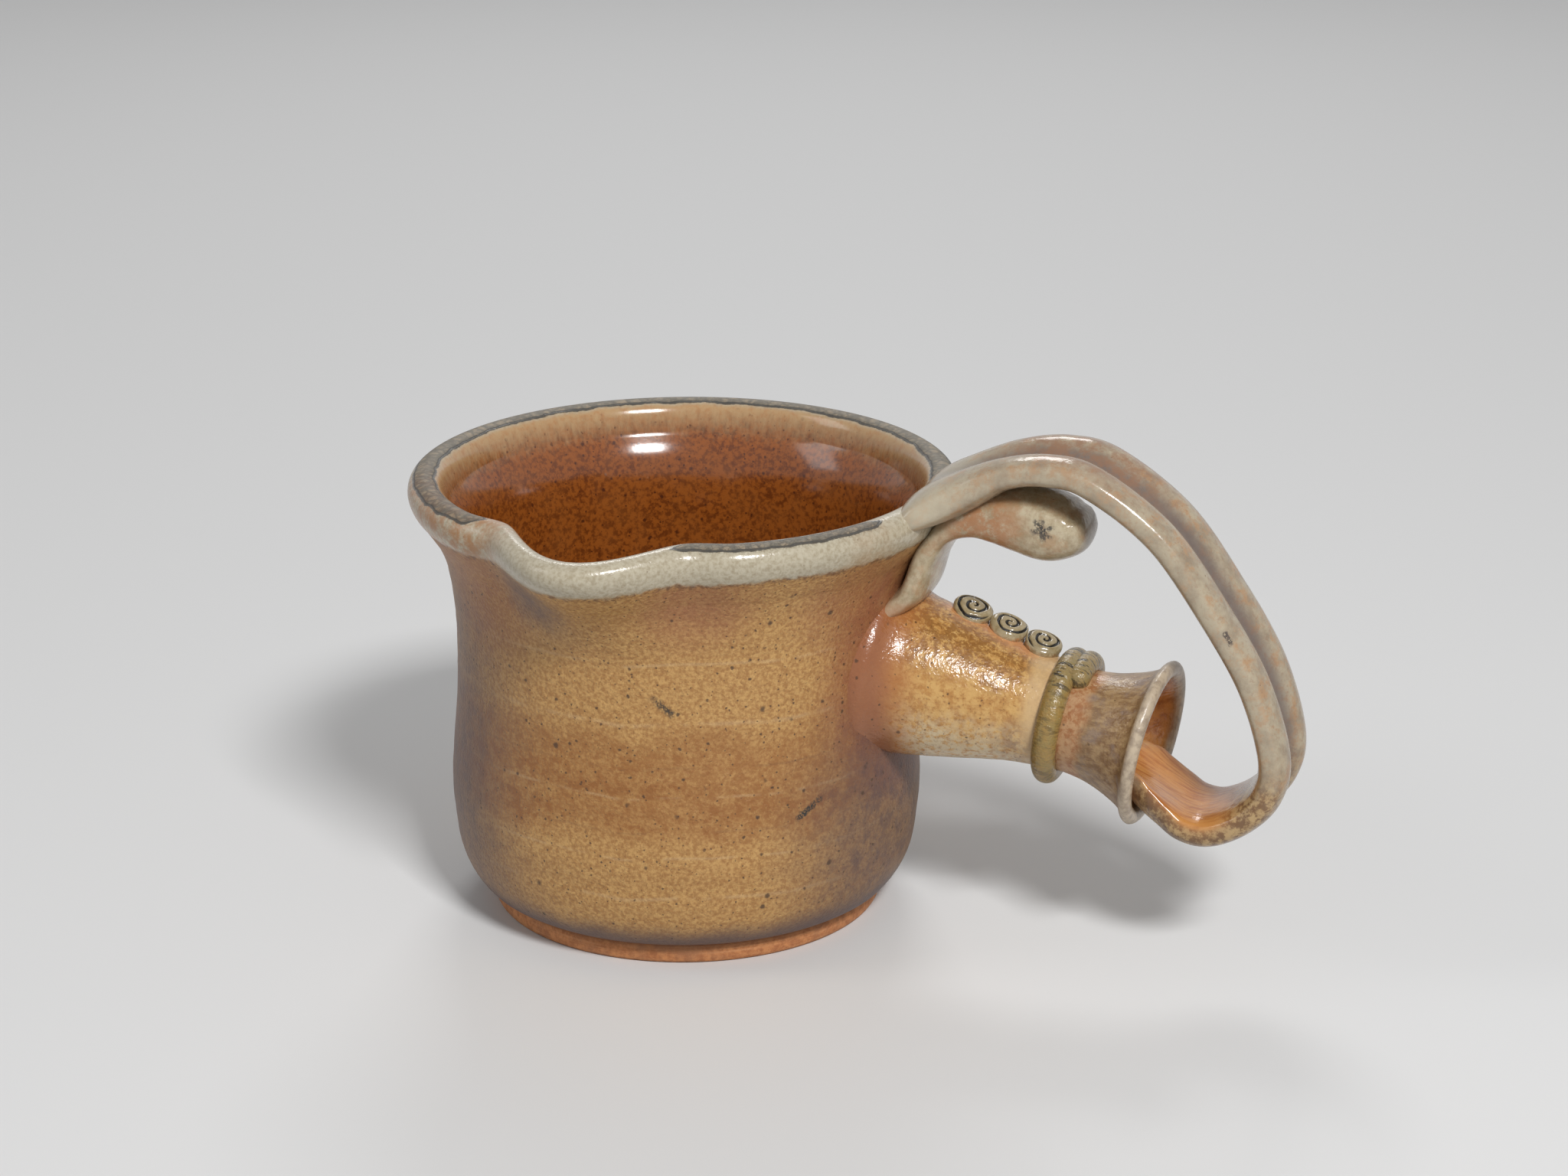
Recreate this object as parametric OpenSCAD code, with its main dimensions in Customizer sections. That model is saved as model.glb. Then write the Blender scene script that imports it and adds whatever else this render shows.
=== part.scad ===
// Sauce jug with a thrown side handle, in millimetres.
// The jug's turning axis is Z, its foot stands on Z = 0, the handle points along +X
// and the spout along -Y.

/* [Body] */

// height of the rim above the table
body_h = 92; // [88:1:96]
// outside width of the rolled rim
rim_d = 112; // [110:0.4:115.2]
// outside width at the belly
belly_d = 98.2; // [96:0.2:100.2]
// outside width at the waist, where the stem springs
waist_d = 94.6; // [93:0.2:96]
// outside width of the foot ring on the table
foot_d = 81.4; // [79:0.2:83]
// height of the bare foot ring
foot_h = 4.6; // [3.8:0.2:5.4]
// radial width of the foot ring
foot_w = 7; // [5:0.5:9]
// thickness of the thrown wall
wall = 5; // [4:0.25:6]
// radial thickness of the rolled rim
rim_roll = 7; // [6:0.25:8]

/* [Spout] */

// how far the lip is pulled out
spout_reach = 8.5; // [6:0.5:10]
// how far the lip drops at the spout
spout_drop = 1.6; // [0.6:0.2:2.6]
// half angle over which the lip is pulled
spout_spread = 23; // [19:1:27]
// how far the rim is pressed in on both sides of the spout
spout_pinch = 1.4; // [0.6:0.2:2.2]

/* [Stem] */

// outside width of the stem a short way off the body
stem_root_d = 31.8; // [30:0.2:33.4]
// outside width of the stem under the collar
stem_neck_d = 22.2; // [21:0.2:23.4]
// distance from the jug's axis to the stem's end, along the stem
stem_reach = 81.5; // [80:0.5:83]
// height at which the stem's own axis meets the jug's axis
stem_rise = 61.3; // [59:0.1:63]
// angle by which the stem hangs down
stem_droop = 9; // [7:0.5:11]
// thickness of the stem's wall
stem_wall = 3.2; // [2.6:0.2:3.8]

/* [Bell] */

// outside width of the bell's mouth
bell_mouth_d = 34; // [32:0.5:36]
// length of the bell from the joint to the mouth
bell_len = 20.5; // [18.5:0.5:22]
// thickness of the bell's wall
bell_wall = 3; // [2.4:0.2:3.4]
// angle by which the bell leans to the spout side of the stem
bell_turn = 3; // [0:1:6]

/* [Collar] */

// thickness of the coil round the joint
coil_d = 5; // [4.4:0.2:5.6]
// angle over which the coil's ends lie side by side
coil_lap = 70; // [40:5:100]

/* [Strap handle] */

// width of the pulled strap
strap_w = 24; // [21:0.5:26]
// thickness of the strap
strap_t = 7.6; // [6.8:0.2:8.4]
// depth of the thumb groove along the outer face
strap_groove = 3; // [1.6:0.2:3.4]
// height of the strap's arch above the rim
strap_arch = 9.3; // [7.3:0.2:11.3]
// distance from the jug's axis to the strap's outermost sweep
strap_reach = 125.5; // [123:0.5:128]

/* [Bracket] */

// width of the short bracket under the strap
bracket_w = 17; // [14:0.5:19]
// thickness of the bracket's stalk
bracket_t = 5.6; // [4.8:0.2:6.6]
// thickness of the rolled end
bracket_curl = 14; // [12:0.5:15]

/* [Spiral buttons] */

// share by which each next button is narrower than the one nearer the body
button_step = 0.04; // [0:0.01:0.08]
// height of a button over the stem
button_h = 2.4; // [1.8:0.2:2.8]
// height of the spiral ridge on each button
ridge_h = 0.7; // [0.5:0.1:1]
// angle by which the buttons lean to the spout side
button_lean = 13; // [0:1:18]

/* [Hidden] */

// clearance left where two clay pieces meet
seat = 0.12;
// number of flat sectors round the thrown body
around = 96;
rim_r = rim_d / 2;
belly_r = belly_d / 2;
waist_r = waist_d / 2;
foot_r = foot_d / 2;
root_r = stem_root_d / 2;
neck_r = stem_neck_d / 2;
mouth_r = bell_mouth_d / 2;
spout_angle = -90;
strap_half = strap_w / 2;
bracket_half = bracket_w / 2;
// where along its axis the stem starts inside the body's wall, and where its root is measured
stem_back = 0.8 * waist_r;
stem_root_at = 1.163 * waist_r;

// Smooth curve through a list of points

function curve_at(a, b, c, d, t) =
    0.5 * (2 * b + (c - a) * t + (2 * a - 5 * b + 4 * c - d) * t * t
           + (3 * b - a - 3 * c + d) * t * t * t);

function curve(p, n) = [
    for (i = [0 : len(p) - 2])
        for (k = [0 : n - 1])
            curve_at(p[max(i - 1, 0)], p[i], p[i + 1], p[min(i + 2, len(p) - 1)], k / n),
    p[len(p) - 1]
];

function smooth(t) = let (u = max(0, min(1, t))) u * u * (3 - 2 * u);

// Outline of the thrown body, as radius and height, from the foot to the rim's inner edge

outer_knots = [
    [foot_r + 0.6, foot_h],
    [belly_r - 5.4, foot_h + 1.1],
    [belly_r - 1.9, 0.12 * body_h],
    [belly_r - 0.5, 0.2 * body_h],
    [belly_r, 0.3 * body_h],
    [(2 * waist_r + belly_r) / 3 + 0.2, 0.43 * body_h],
    [waist_r, 0.56 * body_h],
    [waist_r + 0.2, 0.7 * body_h],
    [waist_r + 1.5, 0.8 * body_h],
    [rim_r - 5.3, 0.86 * body_h],
    [rim_r - 2.6, 0.906 * body_h],
    [rim_r - 0.8, 0.932 * body_h],
    [rim_r, 0.958 * body_h],
    [rim_r - 0.4, body_h - 1.8],
    [rim_r - 1.7, body_h - 0.5],
    [rim_r - 3.6, body_h]
];
inner_knots = [
    [rim_r - rim_roll + 1.4, body_h - 0.6],
    [rim_r - rim_roll, body_h - 2.4],
    [rim_r - rim_roll - 1.2, 0.93 * body_h],
    [waist_r - wall + 2.2, 0.86 * body_h],
    [waist_r - wall, 0.7 * body_h],
    [waist_r - wall - 0.4, 0.5 * body_h],
    [belly_r - wall - 0.9, 0.3 * body_h],
    [belly_r - wall - 2, 0.19 * body_h],
    [belly_r - wall - 6.5, foot_h + wall + 1],
    [belly_r - wall - 14, foot_h + wall + 0.1]
];
outer_line = curve(outer_knots, 2);
inner_line = curve(inner_knots, 2);

// How strongly the spout acts at one angle and at one height

function turn(a) = abs((a - spout_angle + 540) % 360 - 180);
function pull(a) = turn(a) < spout_spread ? pow(cos(90 * turn(a) / spout_spread), 2) : 0;
function pinch(a) = exp(-pow((turn(a) - spout_spread - 1) / 6, 2));
function lift(z) = pow(smooth((z / body_h - 0.66) / 0.34), 1.3);

function body_point(p, a) =
    let (r = p[0] + lift(p[1]) * (spout_reach * pull(a) - spout_pinch * pinch(a)))
    [r * cos(a), r * sin(a), p[1] - spout_drop * pull(a) * lift(p[1])];

module body() {
    lines = concat(outer_line, inner_line);
    count = len(lines);
    points = concat(
        [for (p = lines) for (k = [0 : around - 1]) body_point(p, 360 * k / around)],
        [[0, 0, foot_h], [0, 0, foot_h + wall]]
    );
    low = count * around;
    sides = [
        for (j = [0 : count - 2])
            for (k = [0 : around - 1])
                let (a = j * around + k, b = j * around + (k + 1) % around)
                each [[a, a + around, b], [b, a + around, b + around]]
    ];
    bottom = [for (k = [0 : around - 1]) [low, k, (k + 1) % around]];
    floor_faces = [
        for (k = [0 : around - 1])
            let (s = (count - 1) * around)
            [low + 1, s + (k + 1) % around, s + k]
    ];
    color("peru") polyhedron(points, concat(sides, bottom, floor_faces), convexity = 6);
}

// Solid of the body's outside, grown by a gap, that the luted pieces are cut with

module body_envelope(gap) {
    rotate_extrude($fn = 96)
        polygon(concat(
            [[0, foot_h]],
            [for (p = outer_line) [p[0] + gap, p[1] + gap * smooth((p[1] / body_h - 0.94) * 20)]],
            [[rim_r - 5, body_h + gap], [0, body_h + gap]]
        ));
}

module foot_ring() {
    color("sandybrown")
        rotate_extrude($fn = 96)
            polygon([
                [foot_r - foot_w, 0.8],
                [foot_r - foot_w + 0.8, 0],
                [foot_r - 0.9, 0],
                [foot_r, 0.9],
                [foot_r + 0.1, foot_h - 0.6],
                [foot_r - 0.3, foot_h - seat],
                [foot_r - foot_w, foot_h - seat]
            ]);
}

// The stem's own frame: X runs out along the stem's axis

module stem_frame() {
    translate([0, 0, stem_rise]) rotate([0, stem_droop, 0]) rotate([0, 90, 0]) children();
}

function stem_point(along, up) =
    [along * cos(stem_droop) + up * sin(stem_droop),
     stem_rise - along * sin(stem_droop) + up * cos(stem_droop)];

function stem_share(t) = stem_root_at + t * (stem_reach - stem_root_at);

stem_outer = curve([
    [1.26 * root_r, stem_back],
    [1.15 * root_r, 0.93 * waist_r],
    [1.07 * root_r, 1.036 * waist_r],
    [root_r, stem_root_at],
    [0.9 * root_r, stem_share(0.28)],
    [1.07 * neck_r, stem_share(0.7)],
    [neck_r, stem_reach]
], 3);

function taper(along) =
    root_r + (neck_r - root_r) * (along - stem_root_at) / (stem_reach - stem_root_at);

module stem() {
    color("goldenrod")
        difference() {
            stem_frame()
                rotate_extrude($fn = 64)
                    polygon(concat(
                        stem_outer,
                        [[neck_r - stem_wall, stem_reach],
                         [root_r - stem_wall, stem_root_at],
                         [root_r - 0.8 * stem_wall, stem_back]]
                    ));
            body_envelope(seat);
        }
}

module stem_envelope(gap) {
    stem_frame()
        rotate_extrude($fn = 64)
            polygon(concat(
                [[0, stem_back]],
                [for (p = stem_outer) [p[0] + gap, p[1]]],
                [[0, stem_reach]]
            ));
}

// The bell: a flared tube that carries the stem on to its open mouth, leaning a little
// to the spout side, its start cut square to the stem

bell_start = stem_reach + seat;
bell_end = stem_reach + bell_len;
bell_outer = curve([
    [neck_r - 0.2, bell_start - 2],
    [neck_r - 0.3, bell_start + 0.1 * bell_len],
    [neck_r + 0.1, bell_start + 0.36 * bell_len],
    [neck_r + 1.5, bell_start + 0.62 * bell_len],
    [mouth_r - 2.4, bell_start + 0.83 * bell_len],
    [mouth_r - 0.5, bell_end - 1.9],
    [mouth_r, bell_end - 0.9]
], 3);
bell_inner = [
    [mouth_r - 0.4, bell_end - 0.1],
    [mouth_r - 1.3, bell_end + 0.4],
    [mouth_r - bell_wall + 0.6, bell_end + 0.2],
    [mouth_r - bell_wall - 0.2, bell_end - 0.6],
    [mouth_r - bell_wall - 2, bell_start + 0.83 * bell_len],
    [neck_r + 1.2 - bell_wall, bell_start + 0.58 * bell_len],
    [neck_r - bell_wall, bell_start + 0.34 * bell_len],
    [neck_r - stem_wall, bell_start - 2]
];

module bell_frame() {
    stem_frame()
        translate([0, 0, bell_start])
            rotate([bell_turn, 0, 0])
                translate([0, 0, -bell_start])
                    children();
}

module bell() {
    color("rosybrown")
        difference() {
            bell_frame()
                rotate_extrude($fn = 64)
                    polygon(concat(bell_outer, bell_inner));
            stem_frame()
                translate([0, 0, bell_start - 10])
                    cylinder(r = mouth_r + 4, h = 10, $fn = 64);
        }
}

// Everything outside the bell's hollow, for cutting the strap's end to the bell's inside

module bell_cutter() {
    bell_frame()
        rotate_extrude($fn = 64)
            polygon(concat(
                [[mouth_r + 6, stem_reach - 6], [mouth_r + 6, bell_end - 4],
                 [mouth_r + seat, bell_end - 1.2],
                 [mouth_r - 0.4 + seat, bell_end],
                 [mouth_r - 1.3, bell_end + 0.4 + seat],
                 [mouth_r - bell_wall + 0.5, bell_end + 0.2 + seat]],
                [for (k = [3 : len(bell_inner) - 2]) [bell_inner[k][0] - seat, bell_inner[k][1]]],
                [[neck_r - stem_wall - seat, stem_reach - 6]]
            ));
}

// The collar: one coil of clay round the joint, its ends side by side on top

collar_at = stem_reach + 0.4;
collar_r = neck_r + 0.1 * coil_d;
lap_r = collar_r - 0.4;
lap_at = collar_at + 0.56 * coil_d;
lap_d = 0.82 * coil_d;
// room between the collar and the slightly tapered neck inside it
collar_gap = 0.4;

module collar() {
    color("darkkhaki")
        stem_frame()
            difference() {
                union() {
                    rotate_extrude($fn = 64)
                        translate([collar_r, collar_at]) circle(d = coil_d, $fn = 28);
                    rotate([0, 0, 180 - coil_lap / 2])
                        rotate_extrude(angle = coil_lap, $fn = 64)
                            translate([lap_r, lap_at]) circle(d = lap_d, $fn = 28);
                    for (side = [-1, 1])
                        rotate([0, 0, 180 + side * coil_lap / 2])
                            translate([lap_r, 0, lap_at]) sphere(d = lap_d, $fn = 28);
                }
                translate([0, 0, stem_reach - 10])
                    cylinder(r = neck_r + collar_gap, h = 22, $fn = 64);
            }
}

// Stations of the strap: distance from the axis, height, half width, thickness, groove, dish.
// It starts on the rim, arches over and comes back into the bell's lower half.

arch_z = body_h + strap_arch;
mouth_low = stem_point(bell_end, -(mouth_r - bell_wall));
bell_mid = stem_point(bell_start + 0.83 * bell_len, -(mouth_r - bell_wall - 2));
bell_deep = stem_point(bell_start + 0.58 * bell_len, -(neck_r + 1.2 - bell_wall));

loop_span = strap_reach - rim_r;
loop_drop = arch_z - mouth_low[1];

// A station given as shares of the loop's span and drop and of the strap's own sizes

function station(across, down, half, thick, groove, dish) =
    [rim_r + across * loop_span, arch_z - down * loop_drop,
     half * strap_half, thick * strap_t, groove * strap_groove, dish * strap_half];

strap_knots = [
    [rim_r - 1.06 * rim_roll, body_h - 0.06 * rim_roll, 1.38 * strap_half, 0.66 * strap_t, 0, 0],
    [rim_r - 0.28 * rim_roll, body_h - 0.06 * rim_roll, 1.32 * strap_half, 1.2 * strap_t,
     0.2 * strap_groove, 0],
    [rim_r + 0.078 * loop_span, body_h + 0.34 * strap_arch, 1.1 * strap_half, 1.24 * strap_t,
     0.6 * strap_groove, 0],
    station(0.199, 0.023, 1, 1, 1, 0),
    station(0.328, 0, 1, 1, 1, 0),
    station(0.458, 0.023, 1, 1, 1, 0),
    station(0.655, 0.157, 1, 1, 1, 0),
    station(0.813, 0.36, 1, 1, 1, 0),
    station(0.934, 0.556, 1, 1, 1, 0),
    station(1, 0.757, 1, 1, 1, 0),
    station(0.986, 0.874, 1, 1, 1, 0),
    station(0.92, 0.957, 1, 1.01, 1, 0.025),
    station(0.827, 1.011, 0.98, 1.03, 0.7, 0.07),
    station(0.748, 1.013, 0.95, 1, 0.4, 0.13),
    [mouth_low[0] + 0.66 * strap_t, mouth_low[1] + 0.13 * strap_t,
     0.9 * strap_half, 0.93 * strap_t, 0.1 * strap_groove, 0.22 * strap_half],
    [mouth_low[0] + 0.08 * strap_t, mouth_low[1] + 0.46 * strap_t,
     0.83 * strap_half, 0.87 * strap_t, 0, 0.3 * strap_half],
    [bell_mid[0] + 0.08 * strap_t, bell_mid[1] + 0.37 * strap_t,
     0.75 * strap_half, 0.76 * strap_t, 0, 0.37 * strap_half],
    [bell_deep[0] + 0.05 * strap_t, bell_deep[1] + 0.3 * strap_t,
     0.58 * strap_half, 0.6 * strap_t, 0, 0.3 * strap_half]
];

// One ring of a swept strip: a rounded flat section with a groove on its outer side

section_count = 24;

function strip_section(half, thick, groove, dish) = [
    for (k = [0 : section_count - 1])
        let (u = 360 * k / section_count, b = cos(u), s = sin(u))
        [sign(s) * thick / 2 * pow(abs(s), 0.62)
             - (s > 0 ? groove * exp(-pow(b / 0.3, 2)) : 0) - dish * b * b,
         half * b]
];

function ring(st, ahead) =
    let (d = [ahead[0], ahead[1]] / norm([ahead[0], ahead[1]]))
    [for (q = strip_section(st[2], st[3], st[4], st[5]))
        [st[0] - d[1] * q[0], q[1], st[1] + d[0] * q[0]]];

module sweep_strip(st) {
    last = len(st) - 1;
    rings = [
        for (i = [0 : last])
            each ring(st[i], st[min(i + 1, last)] - st[max(i - 1, 0)])
    ];
    ends = [[st[0][0], 0, st[0][1]], [st[last][0], 0, st[last][1]]];
    n = section_count;
    first_end = (last + 1) * n;
    sides = [
        for (i = [0 : last - 1])
            for (k = [0 : n - 1])
                let (a = i * n + k, b = i * n + (k + 1) % n)
                each [[a, b, a + n], [b, b + n, a + n]]
    ];
    caps = [
        for (k = [0 : n - 1])
            each [[first_end, (k + 1) % n, k],
                  [first_end + 1, last * n + k, last * n + (k + 1) % n]]
    ];
    polyhedron(concat(rings, ends), concat(sides, caps), convexity = 8);
}

strap_line = curve(strap_knots, 4);

module strap_handle() {
    color("wheat")
        difference() {
            sweep_strip(strap_line);
            body_envelope(seat);
            bell_cutter();
        }
}

// The bracket: from its pressed foot on the stem's root, up under the strap, to a rolled end.
// Its upper side is cut to the strap's inner face.

foot_top = stem_point(1.089 * waist_r, 1.05 * root_r);

// A station given as shares of the loop's span and drop and of the bracket's own sizes

function bracket_station(across, down, half, curl) =
    [rim_r + across * loop_span, arch_z - down * loop_drop,
     half * bracket_half, curl * bracket_curl, 0, 0];

bracket_knots = [
    [foot_top[0] - 0.85 * bracket_half, foot_top[1] - 0.12 * bracket_half,
     1.38 * bracket_half, 0.82 * bracket_t, 0, 0],
    [foot_top[0] - 0.31 * bracket_half, foot_top[1] + 0.35 * bracket_half,
     1.21 * bracket_half, bracket_t, 0, 0],
    [rim_r - 0.034 * loop_span, arch_z - 0.298 * loop_drop, 1.04 * bracket_half, bracket_t, 0, 0],
    [rim_r + 0.017 * loop_span, arch_z - 0.223 * loop_drop, bracket_half, 1.04 * bracket_t, 0, 0],
    bracket_station(0.086, 0.18, 1, 0.61),
    bracket_station(0.164, 0.166, 1, 0.86),
    bracket_station(0.242, 0.172, 1, 1),
    bracket_station(0.316, 0.189, 0.98, 1),
    bracket_station(0.38, 0.189, 0.9, 0.8),
    bracket_station(0.417, 0.18, 0.74, 0.5),
    bracket_station(0.434, 0.175, 0.48, 0.16)
];

// Underside of the strap, as a line in the handle's own plane

strap_under = [
    for (i = [1 : 30])
        let (st = strap_line[i],
             d = strap_line[i + 1] - strap_line[i - 1],
             n = norm([d[0], d[1]]),
             h = st[3] / 2 + seat)
        [st[0] + d[1] / n * h, st[1] - d[0] / n * h]
];

module above_strap() {
    top = arch_z + strap_w;
    near = strap_under[0][0] - bracket_w;
    rotate([90, 0, 0])
        linear_extrude(height = 2 * strap_w, center = true)
            polygon(concat(
                strap_under,
                [[strap_under[len(strap_under) - 1][0], top],
                 [near, top],
                 [near, strap_under[0][1]]]
            ));
}

module bracket() {
    color("burlywood")
        difference() {
            sweep_strip(curve(bracket_knots, 4));
            body_envelope(seat);
            stem_envelope(seat);
            above_strap();
        }
}

// Three spiral buttons along the top of the stem

// room between the last button and the collar, and between two buttons
button_room = 0.9;
button_gap = 0.15;

// The row fills the stem between the bracket's foot and the collar

row_start = 1.167 * waist_r;
row_end = collar_at - coil_d / 2 - button_room;
button_d = (row_end - row_start - 2 * button_gap) / (3 - 3 * button_step);

function button_width(i) = button_d * (1 - i * button_step);
function button_at(i) =
    i == 0 ? row_start + button_d / 2
           : button_at(i - 1) + (button_width(i - 1) + button_width(i)) / 2 + button_gap;

function spiral_edge(radius, turns, half) = [
    for (k = [0 : 40])
        let (t = k / 40, a = 360 * turns * t, r = 0.5 + (radius - 0.5) * t + half)
        [r * cos(a), r * sin(a)]
];

module spiral(radius) {
    inner = spiral_edge(radius, 1.9, -0.42);
    outer = spiral_edge(radius, 1.9, 0.42);
    polygon(concat(outer, [for (k = [40 : -1 : 0]) inner[k]]));
}

module button(index) {
    along = button_at(index);
    d = button_width(index);
    slope = atan((root_r - neck_r) / (stem_reach - stem_root_at));
    color("palegoldenrod")
        difference() {
            stem_frame()
                rotate([0, 0, -button_lean])
                    translate([-taper(along), 0, along])
                        rotate([0, -90 + slope, 0])
                            union() {
                                translate([0, 0, -2.2])
                                    cylinder(d = d, h = 2.2 + button_h - ridge_h, $fn = 40);
                                translate([0, 0, button_h - ridge_h - 0.2])
                                    rotate([0, 0, 140 * index])
                                        linear_extrude(height = ridge_h + 0.2)
                                            spiral(d / 2 - 0.8);
                            }
            stem_envelope(seat);
        }
}

module button_1() {
    button(0);
}

module button_2() {
    button(1);
}

module button_3() {
    button(2);
}

body();
foot_ring();
stem();
bell();
collar();
strap_handle();
bracket();
button_1();
button_2();
button_3();
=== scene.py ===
import math

import bmesh
import bpy
from mathutils import Euler, Matrix, Vector
from mathutils.kdtree import KDTree


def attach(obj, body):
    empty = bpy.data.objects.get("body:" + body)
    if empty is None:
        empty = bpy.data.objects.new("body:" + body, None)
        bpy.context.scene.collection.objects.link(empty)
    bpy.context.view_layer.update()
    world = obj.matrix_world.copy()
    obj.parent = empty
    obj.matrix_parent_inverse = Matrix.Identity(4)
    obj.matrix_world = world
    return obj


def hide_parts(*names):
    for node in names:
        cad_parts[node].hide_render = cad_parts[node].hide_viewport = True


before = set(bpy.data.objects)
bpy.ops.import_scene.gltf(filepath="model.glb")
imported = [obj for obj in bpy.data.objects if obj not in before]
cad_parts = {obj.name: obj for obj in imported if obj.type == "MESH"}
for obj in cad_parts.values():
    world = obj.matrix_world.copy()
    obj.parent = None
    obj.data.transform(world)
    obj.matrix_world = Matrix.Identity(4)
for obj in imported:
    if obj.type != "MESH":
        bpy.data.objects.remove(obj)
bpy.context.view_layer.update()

# Sizes of the jug in millimetres, the same as in the part's source

MM = 0.001
BODY_H = 92.0
RIM_R = 56.0
BELLY_R = 49.1
WAIST_R = 47.3
FOOT_R = 40.7
FOOT_H = 4.6
WALL = 5.0
RIM_ROLL = 7.0

SPOUT_REACH = 8.5
SPOUT_DROP = 1.6
SPOUT_SPREAD = 23.0
SPOUT_PINCH = 1.4
PINCH_WIDTH = 6.0

ROOT_R = 15.9
NECK_R = 11.1
STEM_REACH = 81.5
STEM_RISE = 61.3
STEM_DROOP = 9.0
STEM_WALL = 3.2
STEM_BACK = 0.8 * WAIST_R
STEM_ROOT_AT = 1.163 * WAIST_R

MOUTH_R = 17.0
BELL_LEN = 20.5
BELL_WALL = 3.0
BELL_TURN = 3.0
BELL_START = STEM_REACH + 0.12
BELL_END = STEM_REACH + BELL_LEN

COIL_D = 5.0
COLLAR_AT = STEM_REACH + 0.4
COLLAR_R = NECK_R + 0.1 * COIL_D

STRAP_HALF = 12.0
STRAP_T = 7.6
STRAP_GROOVE = 3.9
ARCH_Z = BODY_H + 9.3
STRAP_REACH = 125.5

BRACKET_HALF = 8.5
BRACKET_T = 5.6
BRACKET_CURL = 14.0

BUTTON_H = 2.4
BUTTON_STEP = 0.04
BUTTON_LEAN = 13.0
BUTTON_GAP = 0.15
ROW_START = 1.167 * WAIST_R
ROW_END = COLLAR_AT - COIL_D / 2 - 0.9
BUTTON_D = (ROW_END - ROW_START - 2 * BUTTON_GAP) / (3 - 3 * BUTTON_STEP)

# Lines through knots


def smooth_line(knots, spacing):
    """Points of a smooth curve through the knots, about `spacing` apart."""
    line = []
    last = len(knots) - 1
    for i in range(last):
        before = knots[max(i - 1, 0)]
        start = knots[i]
        end = knots[i + 1]
        after = knots[min(i + 2, last)]
        steps = max(2, math.ceil(math.dist(start[:2], end[:2]) / spacing))
        for k in range(steps):
            t = k / steps
            line.append(tuple(
                0.5 * (2 * b + (c - a) * t + (2 * a - 5 * b + 4 * c - d) * t * t
                       + (3 * b - a - 3 * c + d) * t ** 3)
                for a, b, c, d in zip(before, start, end, after)))
    line.append(tuple(knots[-1]))
    return line


def straight(start, end, spacing):
    """Points from start up to but not including end."""
    steps = max(1, math.ceil(math.dist(start, end) / spacing))
    return [tuple(a + (b - a) * k / steps for a, b in zip(start, end)) for k in range(steps)]


def smooth_step(value, low, high):
    t = min(1.0, max(0.0, (value - low) / (high - low)))
    return t * t * (3 - 2 * t)


# The handle's stem and its row of buttons

STEM_TURN = (0.0, math.radians(90 + STEM_DROOP), 0.0)
STEM_PLACE = (0.0, 0.0, STEM_RISE * MM)
stem_turn = Euler(STEM_TURN).to_matrix()
button_lean = Matrix.Rotation(math.radians(-BUTTON_LEAN), 3, "Z")
button_tilt = Matrix.Rotation(math.radians(24.0), 3, "Z")


def stem_share(t):
    return STEM_ROOT_AT + t * (STEM_REACH - STEM_ROOT_AT)


def stem_point(along, up):
    """A point in the handle's plane, from the distance along the stem and above its axis."""
    droop = math.radians(STEM_DROOP)
    return (along * math.cos(droop) + up * math.sin(droop),
            STEM_RISE - along * math.sin(droop) + up * math.cos(droop))


def button_width(index):
    return BUTTON_D * (1 - index * BUTTON_STEP)


def button_at(index):
    along = ROW_START + BUTTON_D / 2
    for k in range(index):
        along += (button_width(k) + button_width(k + 1)) / 2 + BUTTON_GAP
    return along


def button_spot(along):
    """Where a button sits on the stem's skin, in millimetres."""
    reach = ROOT_R + (NECK_R - ROOT_R) * (along - STEM_ROOT_AT) / (STEM_REACH - STEM_ROOT_AT)
    return Vector((0.0, 0.0, STEM_RISE)) + stem_turn @ button_lean @ Vector((-reach, 0.0, along))


# Node trees are written as sums of wires


class Wire:
    """One value that runs through a node tree."""

    def __init__(self, net, socket):
        self.net = net
        self.socket = socket

    def __add__(self, other):
        return self.net.math("ADD", self, other)

    def __radd__(self, other):
        return self.net.math("ADD", other, self)

    def __sub__(self, other):
        return self.net.math("SUBTRACT", self, other)

    def __rsub__(self, other):
        return self.net.math("SUBTRACT", other, self)

    def __mul__(self, other):
        return self.net.math("MULTIPLY", self, other)

    def __rmul__(self, other):
        return self.net.math("MULTIPLY", other, self)

    def __truediv__(self, other):
        return self.net.math("DIVIDE", self, other)

    def __rtruediv__(self, other):
        return self.net.math("DIVIDE", other, self)


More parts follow.
